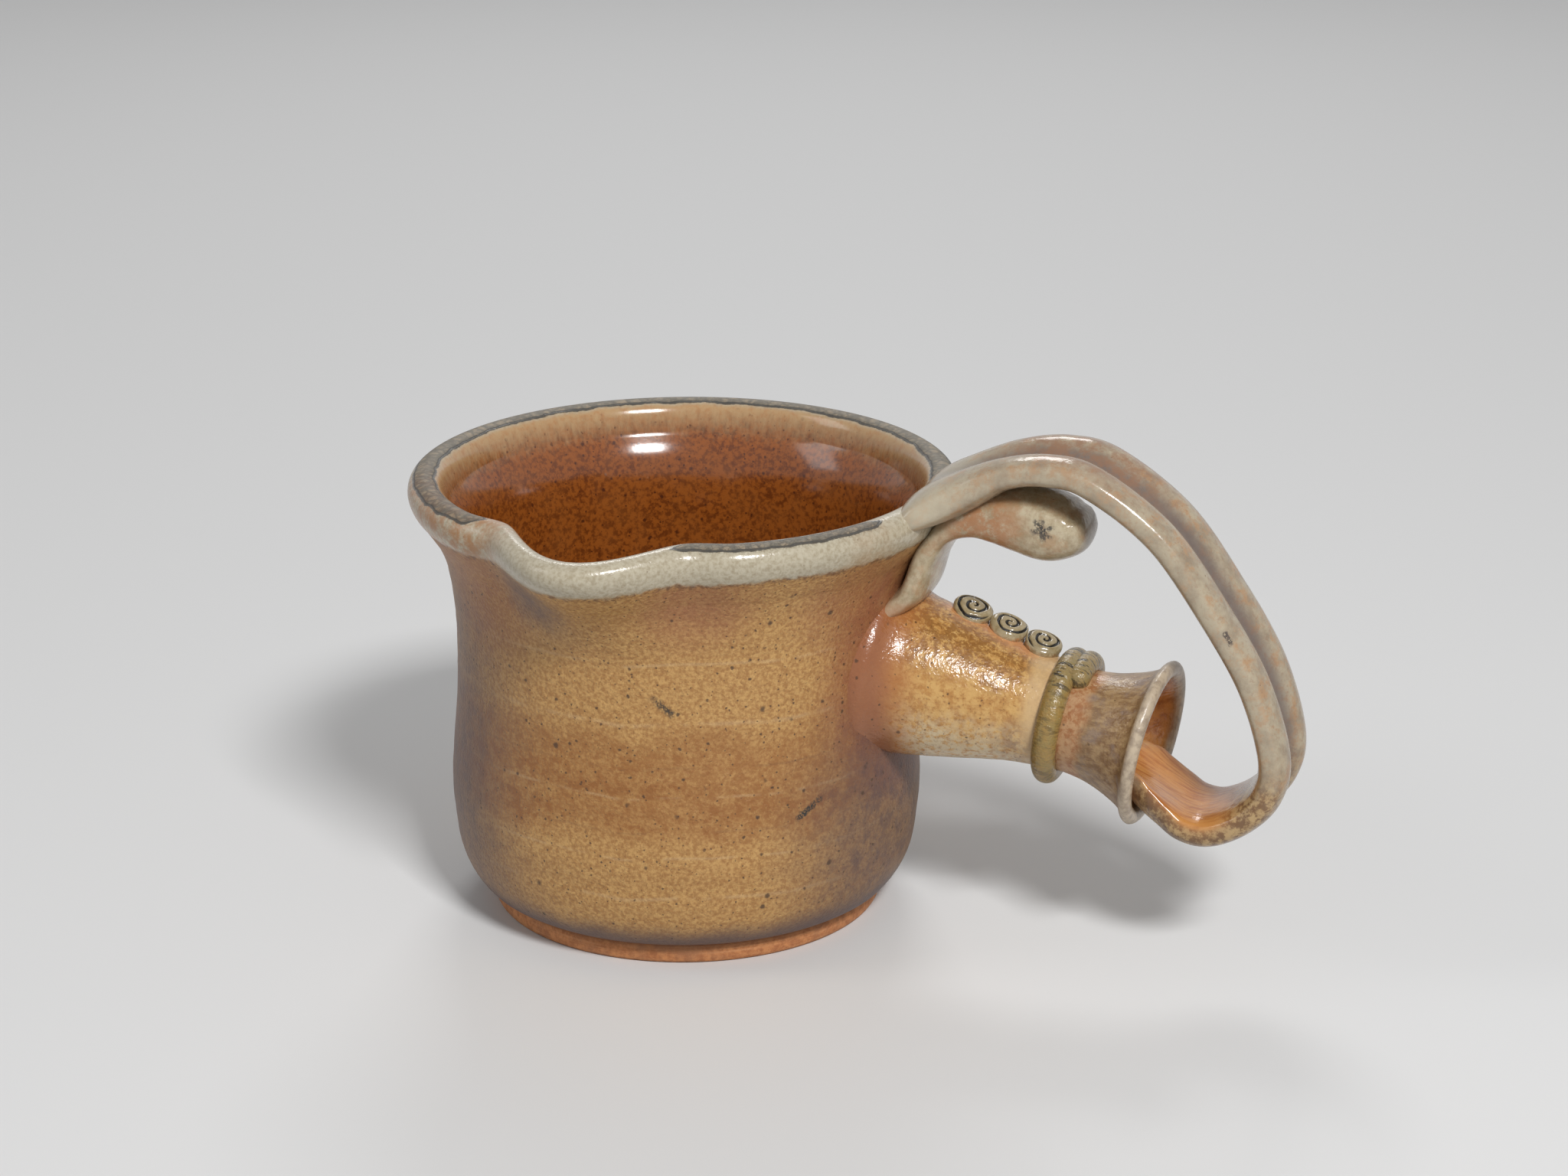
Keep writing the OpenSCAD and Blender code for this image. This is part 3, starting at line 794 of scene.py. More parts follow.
def thrown_tone(glaze):
    """Satin ochre of the outside: fine flecks, bands from throwing, iron spots, pink flashing and
    purple painted shade.
    """
    height = glaze.attribute("thrown_height")
    x, y, z = glaze.parts(glaze.mm)
    flecks = glaze.mottle(0.8, 0.6, 0.36, 0.64)
    tone = glaze.mix(flecks, TAN, OCHRE_BROWN)
    bands = glaze.noise(glaze.combine(x * 0.015, y * 0.015, z * 0.16), 1.0, 4.0, 0.6)
    cloud = glaze.noise(glaze.mm, 0.09, 3.0, 0.55)
    brown = window(glaze, height + (cloud - 0.5) * 16.0, 27.0, 55.0, 7.0)
    grain = glaze.mottle(2.0, 0.75, 0.42, 0.62)
    fine = glaze.mottle(0.5, 0.8, 0.50, 0.68)
    tone = glaze.mix(fine * 0.5, tone, (0.19, 0.08, 0.022))
    tone = glaze.mix((brown * 0.85 + glaze.between(bands, 0.48, 0.72) * 0.45) * (grain * 0.5 + 0.5),
                     tone, RUST)
    for place, width in ((53.5, 0.8), (66.0, 0.6), (17.2, 0.7), (38.5, 0.5), (26.0, 0.5)):
        line = glaze.use(THROWN_LINE, "Mask", height=place, width=width)
        tone = glaze.mix(line * 0.22, tone, (0.60, 0.44, 0.25))
    for place in (44.5, 31.5):
        line = glaze.use(THROWN_LINE, "Mask", height=place, width=0.45)
        tone = glaze.mix(line * 0.3, tone, (0.16, 0.07, 0.025))
    wash = glaze.mottle(3.0, 0.7, 0.35, 0.75)
    # Pink flashing, and purple painted shade on the left side, low on the left, low on the right
    # under the stem and under the spout's lip
    for spot, radius, soft, colour, strength in (
            ((49.0, 0.0, 56.0), 20.0, 12.0, JOIN_PINK, 1.0),
            ((44.0, -20.0, 76.0), 4.0, 15.0, FLASH_PINK, 0.7),
            ((19.5, -43.9, 82.0), 4.0, 13.0, FLASH_PINK, 0.7),
            ((-28.0, -38.0, 78.0), 8.0, 16.0, FLASH_PINK, 0.7),
            ((-48.0, -14.0, 44.0), 22.0, 30.0, PAINTED_SHADE_PURPLE, 0.92),
            ((-36.0, -26.0, 14.0), 10.0, 26.0, PAINTED_SHADE_PURPLE, 0.75),
            ((44.0, -2.0, 24.0), 16.0, 26.0, PAINTED_SHADE_PURPLE, 0.92),
            ((10.0, 48.0, 40.0), 12.0, 30.0, FLASH_PINK, 0.45),
            ((-11.0, -49.0, 80.5), 3.0, 10.0, PAINTED_SHADE_PURPLE, 0.95)):
        flush = glaze.blush(spot, radius, soft)
        tone = glaze.mix(flush * (wash * 0.35 + 0.65) * strength, tone, colour)
    # Painted shade: purple, darker towards the foot where the wall turns under
    low = glaze.between(height + (cloud - 0.5) * 4.0, 12.0, 6.0)
    tone = glaze.mix(low * 0.9, tone, PAINTED_SHADE_PURPLE)
    for spacing, radius, share in ((1.1, 0.30, 0.65), (2.3, 0.5, 0.6), (5.0, 0.9, 0.5)):
        spots = glaze.speckle(spacing, radius, share)
        tone = glaze.mix(spots * 0.85, tone, SPOT_BROWN)
    for spot, direction, length, width in (
            ((13.5, -45.9, 57.5), (0.75, 0.25, -0.6), 7.0, 1.5),
            ((22.5, -43.4, 40.5), (1.0, 0.0, 0.0), 3.4, 0.9),
            ((38.3, -29.9, 34.0), (0.55, 0.65, 0.5), 8.5, 0.9)):
        mark = glaze.use(SCUFF, "Mask", spot=spot, direction=direction, length=length, width=width)
        tone = glaze.mix(mark, tone, (0.022, 0.02, 0.017))
    return tone


def rolled_rim_tone(glaze):
    """Cream grey of the rim, tan to the left of the spout."""
    streaks = glaze.mottle(0.9, 0.65, 0.36, 0.70)
    tone = glaze.mix(streaks, CREAM, CREAM_SHADE)
    for spot, radius, soft, strength in (((-36.0, -38.0, 88.0), 14.0, 17.0, 0.95),
                                         ((46.0, -24.0, 89.0), 1.0, 9.0, 0.3)):
        warm = glaze.blush(spot, radius, soft) * glaze.mottle(2.6, 0.7, 0.3, 0.62)
        tone = glaze.mix(warm * strength, tone, (0.34, 0.165, 0.065))
    dots = glaze.speckle(1.9, 0.25, 0.3)
    return glaze.mix(dots * 0.55, tone, (0.14, 0.08, 0.04))


def liner_tone(glaze, from_rim):
    """Glossy inside: a pale band that runs down in streaks into speckled red brown."""
    x, y, _ = glaze.parts(glaze.mm)
    level = glaze.combine(x, y, from_rim * 0.16)
    runs = glaze.noise(level, 0.9, 4.0, 0.7) - 0.5
    deep = glaze.between(from_rim + runs * 7.0, 3.0, 11.0)
    pale = glaze.mix(glaze.mottle(1.6, 0.6, 0.4, 0.7), LINER_PALE, (0.44, 0.235, 0.10))
    grain = glaze.mottle(1.1, 0.65, 0.42, 0.62)
    lower = glaze.between(from_rim, 14.0, 60.0)
    red = glaze.mix(grain * 0.75, LINER_RED, LINER_DARK)
    red = glaze.mix(glaze.mottle(9.0, 0.6, 0.35, 0.7) * 0.3 + lower * 0.08, red,
                    (0.30, 0.10, 0.022))
    tone = glaze.mix(deep, pale, red)
    for spacing, radius, share in ((1.3, 0.36, 0.7), (2.6, 0.6, 0.5)):
        spots = glaze.speckle(spacing, radius, share) * (deep * 0.8 + 0.15)
        tone = glaze.mix(spots, tone, (0.07, 0.018, 0.006))
    return tone


def body_surface():
    glaze = Glaze("body glaze")
    from_rim = glaze.attribute("from_rim")
    ragged = glaze.noise(glaze.mm, 0.2, 4.0, 0.6) - 0.5
    angle = azimuth(glaze)
    outside = thrown_tone(glaze)
    rim = glaze.between(from_rim + ragged * 5.0, -10.6, -9.2)
    border = window(glaze, from_rim + ragged * 5.0, -11.4, -9.2, 1.0)
    tone = glaze.mix(rim, outside, rolled_rim_tone(glaze))
    tone = glaze.mix(border * glaze.mottle(1.6, 0.7, 0.42, 0.6) * 0.75, tone, (0.13, 0.065, 0.03))
    liner = liner_tone(glaze, from_rim)
    inner = glaze.between(from_rim + ragged * 1.6, 1.8, 3.4)
    tone = glaze.mix(inner, tone, liner)
    rough = glaze.blend(rim, 0.46, 0.24)
    rough = glaze.blend(inner, rough, 0.15)
    worn = None
    for centre, half, start, stop in ((-0.3, 2.3, 10.0, 243.0), (-0.9, 1.25, 290.0, 337.0)):
        away = glaze.math("ABSOLUTE", from_rim - centre + ragged * 1.8)
        ends = glaze.between(angle, start - 2.0, start + 3.0) * glaze.between(
            angle, stop + 2.0, stop - 4.0)
        edge = glaze.between(ends, 0.0, 1.0, 0.0, half)
        patch = glaze.between(away, edge + 0.15, edge - 0.2) * glaze.between(ends, 0.05, 0.3)
        rim_line = glaze.between(glaze.math("ABSOLUTE", away - edge), 0.5, 0.18) * glaze.between(
            ends, 0.02, 0.2)
        grey = glaze.mix(glaze.mottle(2.0, 0.7, 0.38, 0.66), ASH_GREY, (0.24, 0.18, 0.115))
        cracks = glaze.crackle(2.3, 0.26)
        grey = glaze.mix(cracks * 0.8, grey, SOOT)
        tone = glaze.mix(patch * 0.8, tone, grey)
        tone = glaze.mix(rim_line * 0.9, tone, SOOT)
        rough = glaze.blend(patch, rough, 0.6)
        worn = patch if worn is None else worn + patch
    hairs = glaze.crackle(1.1, 0.10) * window(glaze, from_rim, -3.2, 1.4, 1.0) * window(
        glaze, angle, 290.0, 337.0, 3.0)
    tone = glaze.mix(hairs * 0.7, tone, (0.06, 0.045, 0.03))
    calm = 1.0 - glaze.math("MAXIMUM", rim * 0.72, inner * 0.97)
    relief = glaze.peel(0.62, 0.55) * calm - worn * 0.35
    return glaze.finish(tone, rough, relief, 0.085)


def clay_surface():
    glaze = Glaze("bare clay")
    x, y, z = glaze.parts(glaze.mm)
    tone = glaze.mix(glaze.mottle(1.4, 0.7, 0.35, 0.65), CLAY_ORANGE, (0.36, 0.13, 0.045))
    turned = glaze.noise(glaze.combine(x * 0.05, y * 0.05, z * 2.2), 1.0, 3.0, 0.6)
    tone = glaze.mix(glaze.between(turned, 0.45, 0.7) * 0.4, tone, (0.62, 0.32, 0.15))
    tone = glaze.mix(glaze.between(z, 3.0, 4.6) * 0.7, tone, (0.20, 0.085, 0.04))
    tone = glaze.mix(glaze.mottle(7.0, 0.6, 0.45, 0.7) * 0.5, tone, (0.30, 0.14, 0.07))
    tone = glaze.mix(glaze.speckle(1.7, 0.22, 0.35) * 0.8, tone, SPOT_BROWN)
    grit = glaze.peel(0.4, 0.8) * 0.6 + turned * 0.5
    return glaze.finish(tone, 0.78, grit, 0.07)


def stem_surface():
    """Mottled gold, cream below, brown towards the buttons, pink at the join."""
    glaze = Glaze("stem glaze")
    x, _, z = glaze.parts(glaze.mm)
    axis = STEM_RISE - x * math.tan(math.radians(STEM_DROOP))
    up = z - axis
    cloud = glaze.noise(glaze.mm, 0.16, 4.0, 0.6) - 0.5
    tone = glaze.mix(glaze.mottle(1.9, 0.72, 0.40, 0.62), STEM_GOLD, (0.42, 0.205, 0.055))
    cream = glaze.between(up + cloud * 16.0, 2.0, -9.0) * glaze.mottle(1.3, 0.7, 0.36, 0.54)
    tone = glaze.mix(cream * 0.85, tone, (0.60, 0.50, 0.33))
    brown = glaze.between(up + cloud * 14.0, 4.0, 11.0) * glaze.mottle(1.5, 0.75, 0.42, 0.55)
    tone = glaze.mix(brown * 0.85, tone, STEM_BROWN)
    grey = glaze.blush((77.0, -12.0, 44.0), 2.0, 8.0) * glaze.mottle(3.0, 0.7, 0.4, 0.56)
    tone = glaze.mix(grey * 0.7, tone, (0.24, 0.15, 0.10))
    flecks = glaze.mottle(0.95, 0.75, 0.55, 0.64) * glaze.between(cloud, -0.2, 0.2, 0.35, 1.0)
    tone = glaze.mix(flecks * 0.6, tone, (0.16, 0.07, 0.022))
    tone = glaze.mix(glaze.between(x + cloud * 7.0, 57.0, 48.5) * 0.8, tone, (0.36, 0.135, 0.04))
    tone = glaze.mix(glaze.between(x + cloud * 3.0, 51.5, 46.5) * 0.8, tone, JOIN_PINK)
    for along in (button_at(0), button_at(1), button_at(2)):
        halo = glaze.blush(tuple(button_spot(along)), 3.6, 3.2, 2.6)
        tone = glaze.mix(halo * 0.8, tone, (0.62, 0.30, 0.14))
    near = glaze.between(x + cloud * 2.0, 74.0, 77.5)
    tone = glaze.mix(near * 0.75, tone, (0.60, 0.42, 0.22))
    for spacing, radius, share in ((1.5, 0.34, 0.55), (3.6, 0.65, 0.4)):
        spots = glaze.speckle(spacing, radius, share)
        tone = glaze.mix(spots * 0.8, tone, SPOT_BROWN)
    return glaze.finish(tone, 0.2, glaze.peel(0.75, 0.6), 0.06)


def bell_surface():
    """Brown and tan mottle with a pale rolled lip and an orange inside."""
    glaze = Glaze("bell glaze")
    from_rim = glaze.attribute("from_rim")
    cloud = glaze.noise(glaze.mm, 0.2, 4.0, 0.6) - 0.5
    x, y, z = glaze.parts(glaze.mm)
    drawn = glaze.noise(glaze.combine(x * 0.35, y, z), 0.75, 5.0, 0.7)
    tone = glaze.mix(glaze.between(drawn, 0.36, 0.62), BELL_TAN, BELL_BROWN)
    tone = glaze.mix(glaze.mottle(5.0, 0.6, 0.5, 0.68) * 0.55, tone, (0.21, 0.16, 0.145))
    near = glaze.between(from_rim + cloud * 5.0, -14.0, -17.0)
    slip = glaze.mix(glaze.mottle(1.6, 0.7, 0.4, 0.6), (0.48, 0.28, 0.14), (0.33, 0.13, 0.045))
    tone = glaze.mix(near * 0.85, tone, slip)
    dark = glaze.speckle(2.4, 0.45, 0.45)
    tone = glaze.mix(dark * 0.7, tone, (0.07, 0.035, 0.018))
    lip = window(glaze, from_rim + cloud * 1.2, -3.8, 3.0, 1.0)
    pale = glaze.mix(glaze.mottle(1.6, 0.6, 0.38, 0.7), (0.50, 0.41, 0.30), (0.30, 0.235, 0.175))
    tone = glaze.mix(lip * 0.9, tone, pale)
    inner = glaze.between(from_rim + cloud * 1.5, 1.6, 4.2)
    orange = glaze.mix(glaze.mottle(3.0, 0.6, 0.4, 0.65), (0.52, 0.22, 0.06), (0.32, 0.11, 0.03))
    tone = glaze.mix(inner, tone, orange)
    rough = glaze.blend(inner, 0.30, 0.16)
    return glaze.finish(tone, rough, glaze.peel(0.8, 0.6), 0.06)


def collar_surface():
    """Olive gold over a coil whose skin cracked and wrinkled as it was bent."""
    glaze = Glaze("collar glaze")
    strip = glaze.attribute("strip", "Vector")
    along, across, side = glaze.parts(strip)
    _, _, z = glaze.parts(glaze.mm)
    stretched = glaze.combine(along, across * 0.22, side * 0.5)
    wrinkles = glaze.noise(stretched, 1.25, 3.0, 0.6)
    tone = glaze.mix(glaze.mottle(1.8, 0.7, 0.4, 0.62), (0.31, 0.195, 0.055), OLIVE)
    tone = glaze.mix(glaze.between(wrinkles, 0.5, 0.36) * 0.7, tone, (0.13, 0.085, 0.028))
    high = glaze.between(z, 55.0, 61.0)
    cracks = glaze.between(wrinkles, 0.46, 0.40) * high
    tone = glaze.mix(high * 0.35, tone, (0.23, 0.20, 0.12))
    tone = glaze.mix(cracks * 0.85, tone, SOOT)
    tone = glaze.mix(glaze.speckle(1.6, 0.25, 0.4) * 0.7, tone, SPOT_BROWN)
    return glaze.finish(tone, 0.22, wrinkles * 1.0 + glaze.peel(0.6) * 0.25, 0.32)


def strap_mottle(glaze, tone, strength):
    """Orange-brown clouds that show where the pale glaze runs thin."""
    warm = glaze.mottle(3.4, 0.72, 0.46, 0.66)
    tone = glaze.mix(warm * strength, tone, (0.38, 0.225, 0.115))
    fine = glaze.mottle(1.0, 0.75, 0.52, 0.66)
    return glaze.mix(fine * 0.5 * strength, tone, (0.26, 0.15, 0.085))


def strap_surface():
    glaze = Glaze("strap glaze")
    strip = glaze.attribute("strip", "Vector")
    along, across, side = glaze.parts(strip)
    x, _, z = glaze.parts(glaze.mm)
    cloud = glaze.noise(glaze.mm, 0.13, 4.0, 0.6) - 0.5
    tone = glaze.mix(glaze.mottle(4.5, 0.65, 0.35, 0.7), (0.40, 0.335, 0.235), (0.26, 0.20, 0.135))
    tone = strap_mottle(glaze, tone, 0.9)
    # Painted shade: violet grey in the groove between the two ridges of the strap's outer face
    valley = glaze.between(glaze.math("ABSOLUTE", across), 5.2, 1.8) * glaze.between(
        side, 0.1, 0.6)
    tone = glaze.mix(valley * 0.8, tone, GROOVE_SHADE_VIOLET)
    edge_line = glaze.between(glaze.math("ABSOLUTE", side), 0.42, 0.1)
    tone = glaze.mix(edge_line * 0.25, tone, (0.52, 0.45, 0.34))
    lobe = glaze.blush((84.0, 6.0, 105.0), 9.0, 16.0) * glaze.between(side, -0.1, 0.5)
    tone = glaze.mix(lobe * glaze.mottle(3.0, 0.7, 0.34, 0.6) * 0.75, tone, (0.25, 0.125, 0.065))
    low = glaze.between(z + cloud * 16.0, 52.0, 36.0) * glaze.between(x, 96.0, 101.0)
    ochre = glaze.mix(glaze.mottle(2.3, 0.72, 0.42, 0.58), (0.46, 0.30, 0.13), (0.15, 0.062, 0.016))
    tone = glaze.mix(low * glaze.between(side + cloud, 0.9, 0.2, 0.6, 1.0) * 0.85, tone, ochre)
    inner = glaze.between(side, 0.1, -0.35) * glaze.between(z + cloud * 8.0, 47.0, 40.0)
    grain = glaze.noise(glaze.combine(along * 0.12, across * 1.1, side), 1.0, 3.0, 0.6)
    orange = glaze.mix(glaze.between(grain, 0.4, 0.65), (0.56, 0.245, 0.065), (0.40, 0.135, 0.03))
    tone = glaze.mix(inner * glaze.between(x, 121.0, 114.0) * 0.9, tone, orange)
    root = glaze.between(x + cloud * 8.0, 66.0, 56.0)
    tone = glaze.mix(root * 0.5, tone, CREAM)
    mark = glaze.use(SCUFF, "Mask", spot=(116.4, -11.5, 73.0), direction=(0.5, 0.0, -0.86),
                     length=3.6, width=0.7)
    tone = glaze.mix(mark * 0.9, tone, (0.06, 0.045, 0.04))
    tone = glaze.mix(glaze.speckle(2.4, 0.28, 0.35) * 0.6, tone, (0.16, 0.085, 0.045))
    relief = glaze.peel(1.3, 0.6) * 0.6 + grain * 0.5
    return glaze.finish(tone, 0.19, relief, 0.06)


def bracket_surface():
    glaze = Glaze("bracket glaze")
    _, _, z = glaze.parts(glaze.mm)
    cloud = glaze.noise(glaze.mm, 0.16, 4.0, 0.6) - 0.5
    tone = glaze.mix(glaze.mottle(3.0, 0.7, 0.38, 0.68), (0.47, 0.40, 0.275), (0.32, 0.25, 0.15))
    tone = strap_mottle(glaze, tone, 0.6)
    warm = glaze.blush((66.0, -7.0, 88.5), 3.0, 9.0) * glaze.mottle(2.2, 0.7, 0.3, 0.55)
    tone = glaze.mix(warm * 0.85, tone, (0.38, 0.17, 0.07))
    grey = glaze.blush((87.0, 2.0, 86.0), 3.0, 8.0)
    tone = glaze.mix(grey * 0.6, tone, (0.22, 0.20, 0.185))
    low = glaze.between(z + cloud * 5.0, 73.0, 69.5)
    tone = glaze.mix(low * 0.6, tone, (0.36, 0.15, 0.06))
    for direction in ((0.1, 0.0, -1.0), (0.9, 0.0, 0.35), (0.7, 0.0, -0.7)):
        unit = tuple(Vector(direction).normalized())
        mark = glaze.use(SCUFF, "Mask", spot=(78.2, -8.3, 89.5), direction=unit, length=5.5,
                         width=0.8)
        tone = glaze.mix(mark * 0.9, tone, (0.055, 0.048, 0.04))
    tone = glaze.mix(glaze.speckle(2.2, 0.28, 0.4) * 0.65, tone, (0.14, 0.075, 0.04))
    return glaze.finish(tone, 0.17, glaze.peel(1.2, 0.6), 0.05)


def button_surface():
    """Cream sides, dark lines in the spiral and a warm edge where the pad meets the stem."""
    glaze = Glaze("button glaze")
    spiral = glaze.attribute("spiral")
    tone = glaze.mix(glaze.mottle(1.4, 0.7, 0.38, 0.64), (0.46, 0.375, 0.235), (0.27, 0.19, 0.09))
    top = glaze.attribute("top")
    tone = glaze.mix(top * 0.55, tone, (0.25, 0.20, 0.105))
    tone = glaze.mix(glaze.between(spiral, 0.12, 0.5), tone, SOOT)
    tone = glaze.mix(glaze.between(top, 0.3, 0.0) * glaze.mottle(1.6, 0.6, 0.5, 0.7) * 0.5, tone,
                     SLIP_ORANGE)
    return glaze.finish(tone, 0.16, glaze.peel(0.8, 0.6), 0.05)


body_glaze = body_surface()
bare_clay = clay_surface()
stem_glaze = stem_surface()
bell_glaze = bell_surface()
collar_glaze = collar_surface()
strap_glaze = strap_surface()
bracket_glaze = bracket_surface()
button_glaze = button_surface()

# Body: turned, then the spout is pulled


def turned_piece(name, line, softness, rim_index=None):
    """A chain for the turned form from a list of radius and height in millimetres."""
    points = [(radius * MM, 0.0, height * MM) for radius, height in line]
    lengths = [0.0]
    for a, b in zip(line, line[1:]):
        lengths.append(lengths[-1] + math.dist(a, b))
    middle = lengths[rim_index] if rim_index is not None else 0.0
    return chain(name, points,
                 {"softness": [softness(k, line[k]) for k in range(len(line))],
                  "from_rim": [length - middle for length in lengths]})


RIM_SPACING = 0.55
WALL_SPACING = 1.5

outer_knots = [
    (FOOT_R + 0.6, FOOT_H),
    (BELLY_R - 5.4, FOOT_H + 1.1),
    (BELLY_R - 1.9, 0.12 * BODY_H),
    (BELLY_R - 0.5, 0.2 * BODY_H),
    (BELLY_R, 0.3 * BODY_H),
    ((2 * WAIST_R + BELLY_R) / 3 + 0.2, 0.43 * BODY_H),
    (WAIST_R, 0.56 * BODY_H),
    (WAIST_R + 0.2, 0.7 * BODY_H),
    (WAIST_R + 1.5, 0.8 * BODY_H),
    (RIM_R - 5.3, 0.86 * BODY_H),
    (RIM_R - 2.6, 0.906 * BODY_H),
    (RIM_R - 0.8, 0.932 * BODY_H),
    (RIM_R, 0.958 * BODY_H),
    (RIM_R - 0.4, BODY_H - 1.8),
    (RIM_R - 1.7, BODY_H - 0.5),
    (RIM_R - 3.6, BODY_H),
]
inner_knots = [
    (RIM_R - RIM_ROLL + 1.4, BODY_H - 0.6),
    (RIM_R - RIM_ROLL, BODY_H - 2.4),
    (RIM_R - RIM_ROLL - 1.2, 0.93 * BODY_H),
    (WAIST_R - WALL + 2.2, 0.86 * BODY_H),
    (WAIST_R - WALL, 0.7 * BODY_H),
    (WAIST_R - WALL - 0.4, 0.5 * BODY_H),
    (BELLY_R - WALL - 0.9, 0.3 * BODY_H),
    (BELLY_R - WALL - 2, 0.19 * BODY_H),
    (BELLY_R - WALL - 6.5, FOOT_H + WALL + 1),
    (BELLY_R - WALL - 14, FOOT_H + WALL + 0.1),
]
low_wall = smooth_line(outer_knots[:10], WALL_SPACING)
rolled_rim = smooth_line(outer_knots[9:] + inner_knots[:3], RIM_SPACING)
high_wall = smooth_line(inner_knots[2:], WALL_SPACING)
outer_line = smooth_line(outer_knots, WALL_SPACING)
under = straight((0.0, FOOT_H), outer_knots[0], 6.0)
floor_line = straight(inner_knots[-1], (0.0, FOOT_H + WALL), 3.0) + [(0.0, FOOT_H + WALL)]
body_line = under + low_wall[:-1] + rolled_rim[:-1] + high_wall[:-1] + floor_line
rim_index = min(range(len(body_line)), key=lambda k: -body_line[k][1])


def body_softness(k, point):
    """The throwing rings fade at the foot and towards the rolled rim."""
    height = point[1]
    rings = smooth_step(height, FOOT_H + 1, FOOT_H + 6) * (1 - smooth_step(height, 76, 84))
    return rings if k < rim_index else 0.4 * rings


body = turned_piece("jug_body", body_line, body_softness, rim_index)
follow(body, TURNED, around=360, ring_height=5.5 * MM, ring_depth=0.55 * MM, ring_wander=0.35,
       material=body_glaze)
follow(body, SPOUT, body_height=BODY_H * MM, reach=SPOUT_REACH * MM, drop=SPOUT_DROP * MM,
       spread=SPOUT_SPREAD, pinch=SPOUT_PINCH * MM, pinch_width=PINCH_WIDTH, material=body_glaze)
set_solid(body)
hand_over(body, "body_glaze", "body")

# A solid of the body's outside, a little smaller, that the luted ends are cut with

TRIM_DEPTH = 1.4
cutter_line = ([(0.0, FOOT_H + 2)]
               + [(radius - TRIM_DEPTH, min(height, BODY_H - TRIM_DEPTH))
                  for radius, height in outer_line[2:]]
               + [(0.0, BODY_H - TRIM_DEPTH)])
cutter = turned_piece("trim_cutter", cutter_line, lambda k, point: 0.0)
follow(cutter, TURNED, around=96)
set_solid(cutter)

# Foot ring

foot_line = [
    (FOOT_R - 7.0, 0.8), (FOOT_R - 6.7, 0.25), (FOOT_R - 6.2, 0.0), (FOOT_R - 3.5, 0.0),
    (FOOT_R - 0.9, 0.0), (FOOT_R - 0.35, 0.25), (FOOT_R, 0.9), (FOOT_R + 0.1, 2.4),
    (FOOT_R + 0.1, FOOT_H - 0.6), (FOOT_R - 0.3, FOOT_H - 0.12), (FOOT_R - 7.0, FOOT_H - 0.12),
    (FOOT_R - 7.0, 2.4), (FOOT_R - 7.0, 0.8),
]
foot = turned_piece("foot_ring_turned", foot_line, lambda k, point: 0.0)
follow(foot, TURNED, around=256, material=bare_clay)
set_solid(foot)
hand_over(foot, "bare_clay", "foot_ring")

# Stem and bell: turned hollow forms set out sideways

stem_outer = smooth_line([
    (1.26 * ROOT_R, STEM_BACK),
    (1.26 * ROOT_R, 0.935 * WAIST_R),
    (1.145 * ROOT_R, 0.995 * WAIST_R),
    (1.06 * ROOT_R, 1.06 * WAIST_R),
    (ROOT_R, STEM_ROOT_AT),
    (0.9 * ROOT_R, stem_share(0.28)),
    (1.07 * NECK_R, stem_share(0.7)),
    (NECK_R, STEM_REACH),
], 0.7)
stem_inner = (straight((NECK_R, STEM_REACH), (NECK_R - STEM_WALL, STEM_REACH), 1.0)
              + straight((NECK_R - STEM_WALL, STEM_REACH), (ROOT_R - STEM_WALL, STEM_ROOT_AT), 2.0)
              + straight((ROOT_R - STEM_WALL, STEM_ROOT_AT),
                         (ROOT_R - 0.8 * STEM_WALL, STEM_BACK), 2.0)
              + straight((ROOT_R - 0.8 * STEM_WALL, STEM_BACK), (1.26 * ROOT_R, STEM_BACK), 2.0)
              + [(1.26 * ROOT_R, STEM_BACK)])
stem = turned_piece("thrown_stem", stem_outer[:-1] + stem_inner,
                    lambda k, point: 1.0 if k < len(stem_outer) else 0.0)
follow(stem, TURNED, around=160, ring_height=4.0 * MM, ring_depth=0.3 * MM, ring_wander=0.5,
       material=stem_glaze)
follow(stem, SET, turn=STEM_TURN, place=STEM_PLACE, material=stem_glaze)
trim(stem, cutter)
hand_over(stem, "stem_glaze", "stem")

bell_outer = smooth_line([
    (NECK_R - 0.25, BELL_START),
    (NECK_R - 0.3, BELL_START + 0.1 * BELL_LEN),
    (NECK_R + 0.1, BELL_START + 0.36 * BELL_LEN),
    (NECK_R + 1.5, BELL_START + 0.62 * BELL_LEN),
    (MOUTH_R - 2.4, BELL_START + 0.83 * BELL_LEN),
    (MOUTH_R - 0.5, BELL_END - 1.9),
    (MOUTH_R, BELL_END - 0.9),
    (MOUTH_R - 0.4, BELL_END - 0.1),
    (MOUTH_R - 1.3, BELL_END + 0.4),
    (MOUTH_R - BELL_WALL + 0.6, BELL_END + 0.2),
    (MOUTH_R - BELL_WALL - 0.2, BELL_END - 0.6),
    (MOUTH_R - BELL_WALL - 2, BELL_START + 0.83 * BELL_LEN),
    (NECK_R + 1.2 - BELL_WALL, BELL_START + 0.58 * BELL_LEN),
    (NECK_R - BELL_WALL, BELL_START + 0.34 * BELL_LEN),
    (NECK_R - STEM_WALL, BELL_START),
], 0.55)
bell = turned_piece("flared_bell",
                    bell_outer + straight((NECK_R - STEM_WALL, BELL_START),
                                          (NECK_R - 0.25, BELL_START), 1.0)[1:]
                    + [(NECK_R - 0.25, BELL_START)],
                    lambda k, point: 1.0, rim_index=len(bell_outer) // 2)
bell_turn = Euler((math.radians(BELL_TURN), STEM_TURN[1], 0.0)).to_matrix()
hinge = Vector((0.0, 0.0, BELL_START * MM))
bell_place = Vector(STEM_PLACE) + stem_turn @ hinge - bell_turn @ hinge
follow(bell, TURNED, around=160, ring_height=5.0 * MM, ring_depth=0.3 * MM, ring_wander=0.6,
       material=bell_glaze)
